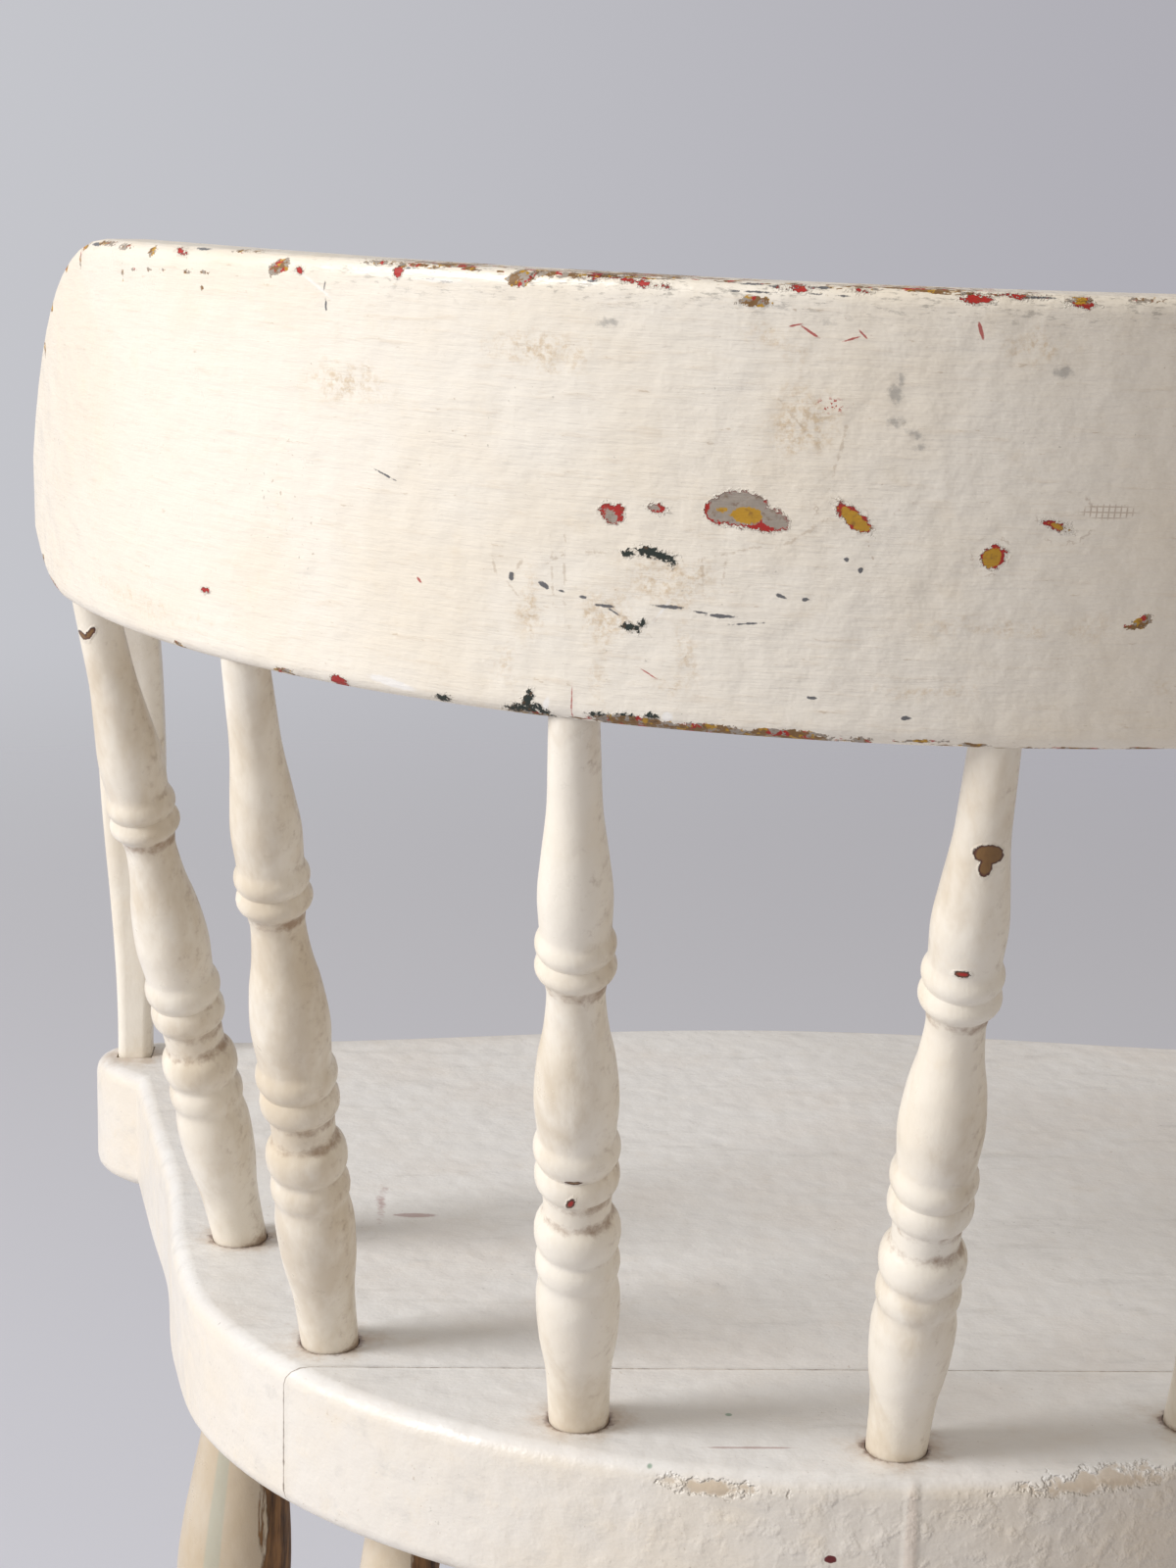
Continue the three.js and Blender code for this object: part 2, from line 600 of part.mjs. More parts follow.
let crest = crestBlank();
spindleAxes.forEach(({ foot, top, along }, i) => {
  const shown = foot.distanceTo(top);
  const spindle = toSolid(turned(foot, top, spindleProfile(shown)));
  const below = top.clone().addScaledVector(along, -SPINDLE_TOP_RADIUS);
  const shoulder = top.clone().addScaledVector(along, SPINDLE_SHOULDER + FIT);
  const inside = top.clone().addScaledVector(along, SPINDLE_TENON + FIT);
  crest = crest.subtract(drill(below, shoulder, SPINDLE_TOP_RADIUS + FIT));
  crest = crest.subtract(drill(below, inside, SPINDLE_TENON_RADIUS + FIT));
  addPiece(`back_spindle_${i + 1}`, spindle, WHITE_PAINT);
});

const screwHoles = screws.map((screw) => screwSolid(screw, FIT));
for (const hole of screwHoles) {
  crest = crest.subtract(hole);
}
addPiece("crest_board", crest, WHITE_PAINT);
for (const [side, sign] of [["left", -1], ["right", 1]]) {
  let arm = armBlank(sign).subtract(crestBlank(FIT));
  for (const hole of screwHoles) {
    arm = arm.subtract(hole);
  }
  addPiece(`arm_${side}`, arm, WHITE_PAINT);
}
for (const screw of screws) {
  addPiece(screw.name, screwSolid(screw, 0), SCREW_PAINT);
}
for (const place of LEG_PLACES) {
  let leg = legSolid(place);
  for (const hole of stretcherEnds[place.name]) {
    leg = leg.subtract(hole);
  }
  addPiece(place.name, leg, WHITE_PAINT);
}
for (const [name, { solid }] of Object.entries(stretchers)) {
  addPiece(name, solid, WHITE_PAINT);
}

// The origin is the bottom centre of the chair's own box.
const box = new THREE.Box3().setFromObject(chair);
const centre = box.getCenter(new THREE.Vector3());
chair.position.set(-centre.x, -centre.y, -box.min.z);

export default chair;
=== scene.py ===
# %% [markdown]
# # An old painted armchair, chipped and peeling
#
# The chair has one wide crest board, bent round the sitter on seven turned spindles, over a
# plank seat. It has been painted many times. The last coat, a glossy cream white, has chipped
# down to red, mustard, grey and dark green.
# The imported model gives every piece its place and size. This script gives each piece its
# smooth form and its paint.

# %% The frame
import math
from contextlib import contextmanager

import bmesh
import bpy
import numpy as np
from mathutils import Matrix, Vector
from mathutils.kdtree import KDTree


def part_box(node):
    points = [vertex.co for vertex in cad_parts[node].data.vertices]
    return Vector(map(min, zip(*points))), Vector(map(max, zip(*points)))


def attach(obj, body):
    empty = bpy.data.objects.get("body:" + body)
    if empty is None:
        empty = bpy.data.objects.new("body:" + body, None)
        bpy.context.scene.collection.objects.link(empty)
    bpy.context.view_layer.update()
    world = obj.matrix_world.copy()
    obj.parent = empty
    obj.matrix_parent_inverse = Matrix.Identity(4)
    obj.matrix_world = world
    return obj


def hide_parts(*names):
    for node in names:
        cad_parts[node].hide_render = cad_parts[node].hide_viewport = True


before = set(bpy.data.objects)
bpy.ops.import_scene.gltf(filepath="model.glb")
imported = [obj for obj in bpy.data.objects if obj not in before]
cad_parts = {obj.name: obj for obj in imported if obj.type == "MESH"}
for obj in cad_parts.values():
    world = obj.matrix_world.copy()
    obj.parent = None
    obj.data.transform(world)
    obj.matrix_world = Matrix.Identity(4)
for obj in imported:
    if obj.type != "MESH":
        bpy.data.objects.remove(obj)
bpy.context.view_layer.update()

MM = 0.001
scene = bpy.context.scene

# %% [markdown]
# ## Where things are measured from
#
# The chair was drawn from the foot of the middle back spindle: across, forward from it,
# and up from the seat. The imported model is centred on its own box, so one shift brings
# drawing sizes, in millimetres, to scene metres. The shift is read from a node whose
# drawing size is known: the rear edge of the seat.

# %% Drawing sizes to scene places
SEAT_TOP = 430.0
SEAT_THICK = 40.0
SEAT_BACK_MARGIN = 19.0

seat_low, seat_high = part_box("seat_rear_board")
DRAWING_SHIFT_Y = seat_low[1] / MM + SEAT_BACK_MARGIN


def at(across, forward, above_seat):
    """A drawing place in millimetres as a place in the scene, in metres."""
    return Vector((across, forward + DRAWING_SHIFT_Y, above_seat + SEAT_TOP)) * MM


print("middle spindle's foot:", at(0, 0, 0))

# %% [markdown]
# ## The curves of the back
#
# The spindles' feet stand on one curve and the crest board is bent to another. Both start
# at the middle of the back and tighten towards their ends, as a steamed plank does that is
# drawn round a form. A place in the crest board is found from three sizes: along its
# length, across its thickness, and up its height. It leans back most at its middle.

# %% Curves of the back
FOOT_SPACING = 80.0
FOOT_CURVE = (213.5, 9.0e-8)
CREST_CURVE = (203.2, -1.92e-8)
TOP_STATIONS = (0, 89, 182, 266)
CREST_LOW = 195.2
CREST_HEIGHT = 93.7
CREST_THICK = 16.0
CREST_HALF_LENGTH = 306.0
CREST_END_DROP = 5.0
CREST_RAKE_LOW = 77.6
CREST_LEAN = 0.343
CREST_LEAN_FADE = 1.3
BACK_SLANT = 0.0084


def bend(curve, distance):
    """The point of a plan curve at a distance along it, and the way outwards there."""
    radius, tightening = curve
    steps = 60
    reach = abs(distance)
    side = math.copysign(1, distance)
    point = Vector((0, 0, 0))
    for i in range(steps):
        s = (i + 0.5) / steps * reach
        angle = s / radius + tightening * s ** 3 / 3
        point += Vector((math.cos(angle), math.sin(angle), 0)) * reach / steps
    angle = reach / radius + tightening * reach ** 3 / 3
    point.x *= side
    return point, Vector((side * math.sin(angle), -math.cos(angle), 0))


def crest_drawn(distance, across, up):
    """A place in the crest board, as a drawing place above the seat."""
    point, outward = bend(CREST_CURVE, distance)
    place = point + outward * across
    lean = CREST_LEAN * max(-outward.y, 0) ** CREST_LEAN_FADE
    drop = CREST_END_DROP * (distance / CREST_HALF_LENGTH) ** 4 * up / CREST_HEIGHT
    place.y -= CREST_RAKE_LOW + lean * up
    place.z = CREST_LOW + up - drop - BACK_SLANT * place.x
    return place


def crest_place(distance, across, up):
    return at(*crest_drawn(distance, across, up))


def smooth_path(points, count):
    """Evenly spaced places on a smooth line through points (centripetal Catmull-Rom)."""
    ends = [points[0] * 2 - points[1], *points, points[-1] * 2 - points[-2]]
    fine = []
    for p0, p1, p2, p3 in zip(ends, ends[1:], ends[2:], ends[3:]):
        t1 = (p1 - p0).length ** 0.5
        t2 = t1 + (p2 - p1).length ** 0.5
        t3 = t2 + (p3 - p2).length ** 0.5
        for i in range(24):
            t = t1 + (t2 - t1) * i / 24
            a1 = p0.lerp(p1, t / t1)
            a2 = p1.lerp(p2, (t - t1) / (t2 - t1))
            a3 = p2.lerp(p3, (t - t2) / (t3 - t2))
            b1 = a1.lerp(a2, t / t2)
            b2 = a2.lerp(a3, (t - t1) / (t3 - t1))
            fine.append(b1.lerp(b2, (t - t1) / (t2 - t1)))
    fine.append(points[-1])
    lengths = np.cumsum([0] + [(b - a).length for a, b in zip(fine, fine[1:])])
    wanted = np.linspace(0, lengths[-1], count)
    columns = [np.interp(wanted, lengths, [p[axis] for p in fine]) for axis in range(3)]
    return [Vector(place) for place in zip(*columns)]


print("crest board's ends:", crest_place(-CREST_HALF_LENGTH, 0, 0), crest_place(CREST_HALF_LENGTH, 0, 0))

# %% [markdown]
# ## Tools for modelling
#
# Each piece starts as a primitive and is shaped in edit mode. These helpers start a piece,
# choose edges by their direction or place, and finish a piece so that its own mesh holds
# its place. Every piece also keeps, as an attribute, where each point lay in the straight
# timber before it was bent or set at a slant, so paint and wear can follow the timber.


# %% Modelling tools
def begin(add, **settings):
    """A new primitive, alone in the selection."""
    bpy.ops.object.select_all(action="DESELECT")
    add(**settings)
    return bpy.context.object


def only(piece):
    bpy.ops.object.select_all(action="DESELECT")
    piece.select_set(True)
    bpy.context.view_layer.objects.active = piece


@contextmanager
def editing(piece):
    """Edit mode on one piece, with all of it selected at the start."""
    only(piece)
    bpy.ops.object.mode_set(mode="EDIT")
    bpy.ops.mesh.select_all(action="SELECT")
    yield
    bpy.ops.object.mode_set(mode="OBJECT")


def face_outwards():
    """Turn every face of the piece in edit mode outwards."""
    bpy.ops.mesh.select_all(action="SELECT")
    bpy.ops.mesh.normals_make_consistent(inside=False)


def choose_edges(piece, test):
    """Select just the edges for which test(middle, direction) holds, in edit mode."""
    mesh = bmesh.from_edit_mesh(piece.data)
    bpy.ops.mesh.select_all(action="DESELECT")
    for edge in mesh.edges:
        ends = [vertex.co for vertex in edge.verts]
        if test((ends[0] + ends[1]) / 2, (ends[1] - ends[0]).normalized()):
            edge.select_set(True)
    bmesh.update_edit_mesh(piece.data)


def cut(co, no, **settings):
    """Cut the piece in edit mode with a plane."""
    bpy.ops.mesh.select_all(action="SELECT")
    bpy.ops.mesh.bisect(plane_co=co, plane_no=no, **settings)


def keep_timber(piece):
    """Store where each point lies in the straight timber, in millimetres."""
    layer = piece.data.attributes.new("timber", "FLOAT_VECTOR", "POINT")
    for vertex, kept in zip(piece.data.vertices, layer.data):
        kept.vector = vertex.co / MM


def move_points(piece, place):
    """Put every point of a piece where place() says it goes."""
    for vertex in piece.data.vertices:
        vertex.co = place(vertex.co / MM)
    piece.data.update()


def use_modifier(piece, kind, **settings):
    only(piece)
    modifier = piece.modifiers.new(kind.lower(), kind)
    for key, value in settings.items():
        setattr(modifier, key, value)
    bpy.ops.object.modifier_apply(modifier=modifier.name)


def drill(piece, holes):
    """Bore round holes, each (foot, top, radius), and keep what the points had stored."""
    before = [vertex.co.copy() for vertex in piece.data.vertices]
    timber = [Vector(kept.vector) for kept in piece.data.attributes["timber"].data]
    hollow = piece.data.attributes.get("hollow")
    depths = [kept.value for kept in hollow.data] if hollow else []
    for foot, top, radius in holes:
        bit = begin(bpy.ops.mesh.primitive_cylinder_add, vertices=32, radius=radius * MM, depth=1)
        bit.scale.z = (top - foot).length
        bit.rotation_mode = "QUATERNION"
        bit.rotation_quaternion = (top - foot).to_track_quat("Z", "Y")
        bit.location = (top + foot) / 2
        use_modifier(piece, "BOOLEAN", object=bit, operation="DIFFERENCE", solver="EXACT")
        bpy.data.objects.remove(bit)
    nearest = KDTree(len(before))
    for index, place in enumerate(before):
        nearest.insert(place, index)
    nearest.balance()
    found = [nearest.find(vertex.co)[1] for vertex in piece.data.vertices]
    for index, kept in zip(found, piece.data.attributes["timber"].data):
        kept.vector = timber[index]
    if depths:
        for index, kept in zip(found, piece.data.attributes["hollow"].data):
            kept.value = depths[index]


def smooth(piece, degrees=40):
    only(piece)
    bpy.ops.object.shade_smooth_by_angle(angle=math.radians(degrees))


def hand_in(piece, node):
    """Give a finished piece its node's name and its place on the chair."""
    piece.name = node + "_painted"
    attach(piece, "root")
    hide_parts(node)
    print(piece.name, len(piece.data.polygons), "faces")
    return piece


# %% [markdown]
# ## The crest board
#
# The board starts as a straight plank. Its edges are eased and it is cut into short lengths
# so that it can bend. Its ends are drawn in to the curves that the maker sawed, a long one
# above and a short one below. Then each point is carried to its place round the back, which
# is what the bending form does to the steamed plank.

# %% Crest board
CREST_TOP_CORNER = (73.0, 62.0)
CREST_LOW_CORNER = (40.0, 14.0)
CREST_EASE = 3.5
BEND_STEP = 6.0
BEVEL_STEPS = 4


def corner_cut(corner, from_end):
    """How much a corner curve takes off the board's edge, by the distance from its end."""
    reach, drop = corner
    return drop * max(1 - from_end / reach, 0) ** 2


def saw_ends(p):
    """Draw a point of the straight plank in to the curves of its ends, edges kept round."""
    from_end = CREST_HALF_LENGTH - abs(p.x)
    low = corner_cut(CREST_LOW_CORNER, from_end)
    high = CREST_HEIGHT - corner_cut(CREST_TOP_CORNER, from_end)
    ease = CREST_EASE + 0.1
    up = np.interp(p.z, (0, ease, CREST_HEIGHT - ease, CREST_HEIGHT), (low, low + ease, high - ease, high))
    return Vector((p.x, p.y, float(up))) * MM


plank = begin(bpy.ops.mesh.primitive_cube_add, size=1)
with editing(plank):
    bpy.ops.transform.resize(value=(2 * CREST_HALF_LENGTH * MM, CREST_THICK * MM, CREST_HEIGHT * MM))
    bpy.ops.transform.translate(value=(0, 0, CREST_HEIGHT / 2 * MM))
    choose_edges(plank, lambda middle, way: abs(middle.y) > 0.49 * CREST_THICK * MM and abs(way.y) < 0.1)
    bpy.ops.mesh.bevel(offset=CREST_EASE * MM, segments=BEVEL_STEPS)
    for step in range(1, int(2 * CREST_HALF_LENGTH / BEND_STEP)):
        cut((step * BEND_STEP * MM - CREST_HALF_LENGTH * MM, 0, 0), (1, 0, 0))
    for share in (0.06, 0.2, 0.5, 0.8, 0.94):
        cut((0, 0, share * CREST_HEIGHT * MM), (0, 0, 1))
move_points(plank, saw_ends)
keep_timber(plank)
move_points(plank, lambda p: crest_place(p.x, -p.y, p.z))
crest = plank
print("crest board:", len(crest.data.vertices), "points")

# %% [markdown]
# ## The back spindles
#
# A spindle is turned on a lathe, so it is modelled ring by ring from its foot. The profile
# is a smooth body with six soft beads in three pairs. Old paint has filled the hollows
# beside the beads a little. One spindle is turned, then copied and stretched
# to the length that each place in the back needs.

# %% Spindle profile
SPINDLE_TENON = 14.0
SPINDLE_TENON_RADIUS = 4.5
SPINDLE_SOCKET = 25.0
SPINDLE_LENGTH = 210.0
SPINDLE_BODY = (
    (0.0, 5.5), (0.055, 5.8), (0.115, 6.2), (0.177, 7.6), (0.222, 8.5), (0.262, 8.2),
    (0.301, 7.8), (0.336, 7.2), (0.353, 6.7), (0.40, 7.5), (0.441, 9.0), (0.497, 10.0),
    (0.54, 9.4), (0.589, 8.7), (0.635, 8.3), (0.66, 8.2), (0.718, 9.0), (0.763, 9.5),
    (0.794, 10.3), (0.857, 9.7), (0.913, 8.2), (1.0, 7.6),
)
SPINDLE_BEADS = (
    (0.2865, 0.0145, 9.3), (0.3155, 0.0135, 9.4), (0.570, 0.018, 10.4),
    (0.609, 0.0195, 10.2), (0.694, 0.0235, 10.5), (0.741, 0.0205, 10.3),
)
BEAD_DEPTH = 1.9


def radius_from(body, beads, share):
    """The radius at a share of the length: a smooth body, or a round bead above it."""
    shares = [point[0] for point in body]
    i = min(max(np.searchsorted(shares, share, side="right") - 1, 0), len(body) - 2)
    (s0, r0), (s1, r1) = body[i], body[i + 1]
    before = body[max(i - 1, 0)]
    after = body[min(i + 2, len(body) - 1)]
    rise0 = (r1 - before[1]) / max(s1 - before[0], 1e-6) * (s1 - s0)
    rise1 = (after[1] - r0) / max(after[0] - s0, 1e-6) * (s1 - s0)
    t = (share - s0) / (s1 - s0)
    radius = (2 * t ** 3 - 3 * t ** 2 + 1) * r0 + (t ** 3 - 2 * t ** 2 + t) * rise0
    radius += (3 * t ** 2 - 2 * t ** 3) * r1 + (t ** 3 - t ** 2) * rise1
    for middle, half, top in beads:
        off = (share - middle) / half
        if abs(off) < 1:
            edge = top - BEAD_DEPTH
            radius = max(radius, edge + (top - edge) * math.sqrt(1 - off ** 2))
    return radius


def rings_from(body, beads, length, step):
    """Rings of (height, radius) from the foot up, softened as paint softens turning."""
    count = int(length / step)
    shares = np.linspace(1, 0, count + 1)
    raw = np.array([radius_from(body, beads, share) for share in shares])
    soft = raw.copy()
    soft[1:-1] = raw[1:-1] * 0.7 + (raw[:-2] + raw[2:]) * 0.15
    return [((1 - share) * length, radius) for share, radius in zip(shares, soft)]


def turn_piece(rings, sides):
    """A turned piece up the Z axis, extruded ring by ring from its foot."""
    low, first = rings[0]
    piece = begin(bpy.ops.mesh.primitive_circle_add, vertices=sides, radius=first * MM,
                  fill_type="NGON", location=(0, 0, low * MM))
    bpy.ops.object.transform_apply(location=True, rotation=True, scale=True)
    with editing(piece):
        for (z0, r0), (z1, r1) in zip(rings, rings[1:]):
            bpy.ops.mesh.extrude_region_move(TRANSFORM_OT_translate={"value": (0, 0, (z1 - z0) * MM)})
            bpy.ops.transform.resize(value=(r1 / r0, r1 / r0, 1), center_override=(0, 0, z1 * MM))
        face_outwards()
    keep_timber(piece)
    return piece


def keep_hollows(piece, rings, reach=4.5):
    """Store how deep each point lies below the turning around it, for grime."""
    heights = np.array([ring[0] for ring in rings])
    radii = np.array([ring[1] for ring in rings])
    depths = []
    for height, radius in rings:
        near = np.abs(heights - height) < reach
        depths.append(max(radii[near].max() - radius, 0))
    layer = piece.data.attributes.new("hollow", "FLOAT", "POINT")
    for vertex, kept in zip(piece.data.vertices, layer.data):
        kept.value = float(np.interp(vertex.co.z / MM, heights, depths))


def set_between(source, foot, top, length):
    """A copy of a turned piece, stretched to run from foot to top."""
    only(source)
    bpy.ops.object.duplicate()
    piece = bpy.context.object
    piece.scale.z = (top - foot).length / (length * MM)
    piece.rotation_mode = "QUATERNION"
    piece.rotation_quaternion = (top - foot).to_track_quat("Z", "Y")
    piece.location = foot
    bpy.ops.object.transform_apply(location=True, rotation=True, scale=True)
    return piece


# %% Turn the spindles
body_rings = rings_from(SPINDLE_BODY, SPINDLE_BEADS, SPINDLE_LENGTH, 1.0)
foot_rings = [(-SPINDLE_SOCKET, 7.1), (-12.0, 7.4), (-1.5, 7.55)]
tenon_rings = [
    (SPINDLE_LENGTH + 2.3, 5.4),
    (SPINDLE_LENGTH + 2.5, SPINDLE_TENON_RADIUS),
    (SPINDLE_LENGTH + SPINDLE_TENON, SPINDLE_TENON_RADIUS),
]
spindle_rings = foot_rings + body_rings + tenon_rings
master = turn_piece(spindle_rings, 36)
keep_hollows(master, spindle_rings)
spindle_axes = []
spindles = []
for place in range(-3, 4):
    foot_point, outward = bend(FOOT_CURVE, place * FOOT_SPACING)
    foot = at(foot_point.x, foot_point.y, 0)
    top = crest_place(math.copysign(TOP_STATIONS[abs(place)], place), 0, 0)
    spindle_axes.append((foot, top))
    spindles.append(set_between(master, foot, top, SPINDLE_LENGTH))
bpy.data.objects.remove(master)
print("spindles:", len(spindles))

# %% [markdown]
# ## The seat
#
# The seat is two glued boards, sawn to one outline: round at the back, drawn in at the
# waist, and out again to two ears that carry the arms. The blank is one slab with rounded
# edges, and a cut along the glue line parts it.

# %% Seat outline
SEAT_WAIST_HALF, SEAT_WAIST_Y = 193.0, 140.0
SEAT_EAR_HALF, SEAT_EAR_Y, SEAT_EAR_CORNER = 239.0, 303.0, 14.0
SEAT_FRONT_Y, SEAT_FRONT_BOW = 317.0, 21.0
SEAT_ARRIS = 5.0
GLUE_LINE_Y = 45.0
GLUE_GAP = 0.3


def seat_outline():
    """The seat's right-hand outline from the middle of the back to the front, mirrored."""
    edge = []
    for i in range(8):
        point, outward = bend(FOOT_CURVE, i / 7 * 3 * FOOT_SPACING * 0.97)
        edge.append(point + outward * SEAT_BACK_MARGIN)
    edge.append(Vector((SEAT_WAIST_HALF, SEAT_WAIST_Y, 0)))
    edge.append(Vector((SEAT_WAIST_HALF + 5, SEAT_WAIST_Y + 40, 0)))
    edge.append(Vector((SEAT_WAIST_HALF + 15, SEAT_WAIST_Y + 86, 0)))
    edge.append(Vector((SEAT_EAR_HALF - 21, SEAT_EAR_Y - 28, 0)))
    half = smooth_path(edge, 64)
    start = Vector((SEAT_EAR_HALF - 21, SEAT_EAR_Y - 28, 0))
    pull_a = Vector((SEAT_EAR_HALF, SEAT_EAR_Y - SEAT_EAR_CORNER, 0))
    pull_b = Vector((SEAT_EAR_HALF + 4, SEAT_EAR_Y + SEAT_EAR_CORNER, 0))
    end = Vector((SEAT_EAR_HALF - 31, SEAT_FRONT_Y, 0))
    for i in range(1, 15):
        t = i / 14
        corner = start * (1 - t) ** 3 + pull_a * 3 * t * (1 - t) ** 2
        half.append(corner + pull_b * 3 * t ** 2 * (1 - t) + end * t ** 3)
    front_half = SEAT_EAR_HALF - 31
    for i in range(1, 19):
        x = front_half * (1 - i / 18)
        swell = math.cos(x / front_half * math.pi) * 0.5 + 0.5
        half.append(Vector((x, SEAT_FRONT_Y + SEAT_FRONT_BOW * swell, 0)))
    return half + [Vector((-p.x, p.y, 0)) for p in reversed(half[1:-1])]


outline = seat_outline()
slab = begin(bpy.ops.mesh.primitive_circle_add, vertices=len(outline), radius=1, fill_type="NGON")
for vertex, point in zip(slab.data.vertices, outline):
    vertex.co = at(point.x, point.y, -SEAT_THICK)
with editing(slab):
    bpy.ops.mesh.extrude_region_move(TRANSFORM_OT_translate={"value": (0, 0, SEAT_THICK * MM)})
    face_outwards()
    choose_edges(slab, lambda middle, way: abs(way.z) < 0.1)
    bpy.ops.mesh.bevel(offset=SEAT_ARRIS * MM, segments=BEVEL_STEPS)
print("seat outline:", len(outline), "points")

# %% [markdown]
# ## The legs and stretchers
#
# Each leg has a thin neck, a ring, a long swell and a lower ring, and is sawn flat where it
# stands. Its top end is glued into a blind hole under the seat, so the seat is bored for
# the legs, the spindles and the arms before it is parted.

# %% Legs and stretchers
LEG_TENON_RADIUS = 10.0
LEG_SOCKET = 25.0
LEG_RADIUS = 20.0
LEG_NECK_RADIUS = 10.5
LEG_FOOT_RADIUS = 11.0
LEG_LENGTH = 398.0
LEG_BODY = (
    (0.0, 10.5), (0.06, 10.6), (0.11, 11.0), (0.125, 11.4), (0.15, 11.6), (0.18, 12.1),
    (0.25, 15.4), (0.33, 19.2), (0.382, 20.0), (0.44, 17.9), (0.487, 13.7), (0.51, 14.0),
    (0.535, 13.8), (0.603, 16.6), (0.684, 15.6), (0.83, 12.5), (1.0, 11.0),
)
LEG_BEADS = ((0.1357, 0.018, 14.0), (0.51, 0.018, 18.0))
LEG_PLACES = {}
for side, sign in (("left", -1), ("right", 1)):
    LEG_PLACES["front_leg_" + side] = (at(sign * 204, 318, -SEAT_TOP), at(sign * 176, 262, -SEAT_THICK))
    LEG_PLACES["rear_leg_" + side] = (at(sign * 176, -8, -SEAT_TOP), at(sign * 120, 62, -SEAT_THICK))

leg_rings = [(-LEG_FOOT_RADIUS, LEG_FOOT_RADIUS)]
leg_rings += rings_from(LEG_BODY, LEG_BEADS, LEG_LENGTH, 2.2)
leg_rings += [(LEG_LENGTH + 0.5, LEG_TENON_RADIUS), (LEG_LENGTH + LEG_SOCKET - 1, LEG_TENON_RADIUS)]
leg_master = turn_piece(leg_rings, 40)
keep_hollows(leg_master, leg_rings)
legs = {}
for name, (foot, top) in LEG_PLACES.items():
    leg = set_between(leg_master, foot, top, LEG_LENGTH)
    with editing(leg):
        cut((0, 0, 0), (0, 0, 1), clear_inner=True, use_fill=True)
    legs[name] = leg
bpy.data.objects.remove(leg_master)

STRETCHER_LENGTH = 330.0
STRETCHER_INSET = 1.5
STRETCHER_END_RADIUS = 6.5
STRETCHER_BODY = (
    (0.0, 6.5), (0.09, 6.5), (0.2, 8.0), (0.31, 9.2), (0.35, 8.0), (0.375, 8.0), (0.41, 9.4),
    (0.5, 10.8), (0.59, 9.4), (0.625, 8.0), (0.65, 8.0), (0.69, 9.2), (0.8, 8.0), (0.91, 6.5),
    (1.0, 6.5),
)
STRETCHER_BEADS = ((0.36, 0.016, 11.0), (0.64, 0.016, 11.0))
stretcher_rings = rings_from(STRETCHER_BODY, STRETCHER_BEADS, STRETCHER_LENGTH, 2.5)
stretcher_master = turn_piece(stretcher_rings, 32)
keep_hollows(stretcher_master, stretcher_rings)
STRETCHER_PLACES = {
    "side_stretcher_left": ("rear_leg_left", "front_leg_left", 150),
    "side_stretcher_right": ("rear_leg_right", "front_leg_right", 150),
    "front_stretcher": ("front_leg_left", "front_leg_right", 185),
    "rear_stretcher": ("rear_leg_left", "rear_leg_right", 172),
}
stretchers = {}
leg_holes = {name: [] for name in legs}
for name, (from_leg, to_leg, height) in STRETCHER_PLACES.items():
    share = height / (SEAT_TOP - SEAT_THICK)
    start, end = [LEG_PLACES[leg][0].lerp(LEG_PLACES[leg][1], share) for leg in (from_leg, to_leg)]
    way = (end - start).normalized()
    start, end = start + way * STRETCHER_INSET * MM, end - way * STRETCHER_INSET * MM
    for leg, inner, outer in ((from_leg, start, 1), (to_leg, end, -1)):
        hole = (inner - way * outer * 0.3 * MM, inner + way * outer * 60 * MM, STRETCHER_END_RADIUS + 0.3)
        leg_holes[leg].append(hole)
    stretchers[name] = set_between(stretcher_master, start, end, STRETCHER_LENGTH)
for name, holes in leg_holes.items():
    drill(legs[name], holes)
bpy.data.objects.remove(stretcher_master)
print("legs:", len(legs), "stretchers:", len(stretchers))

# %% [markdown]
# ## The arms
#
# An arm is a strip of wood that stands in a mortise in the seat's ear, leans out, bends
# back and laps inside the end of the crest board. It starts as a straight bar whose
# section is carried along that path, thin at the foot and broad along the top.

# %% Arms
ARM_FOOT_HALF = SEAT_EAR_HALF - 18
ARM_FOOT_Y = SEAT_EAR_Y - 1
ARM_FOOT_WIDTH, ARM_WIDTH, ARM_THICK = 11.5, 22.0, 12.0
ARM_SHOULDER_INSET, ARM_REAR_INSET = 1.2, 7.0
ARM_TENON_DEPTH = 24.0
ARM_ABOVE_CREST_LOW = 16.8
ARM_HEIGHT = CREST_LOW + ARM_ABOVE_CREST_LOW
ARM_SHOULDER_HEIGHT = 140.0
ARM_LAP = 46.0
ARM_STEPS = 64


def smooth_step(value, low, high):
    share = min(max((value - low) / (high - low), 0), 1)
    return share * share * (3 - 2 * share)


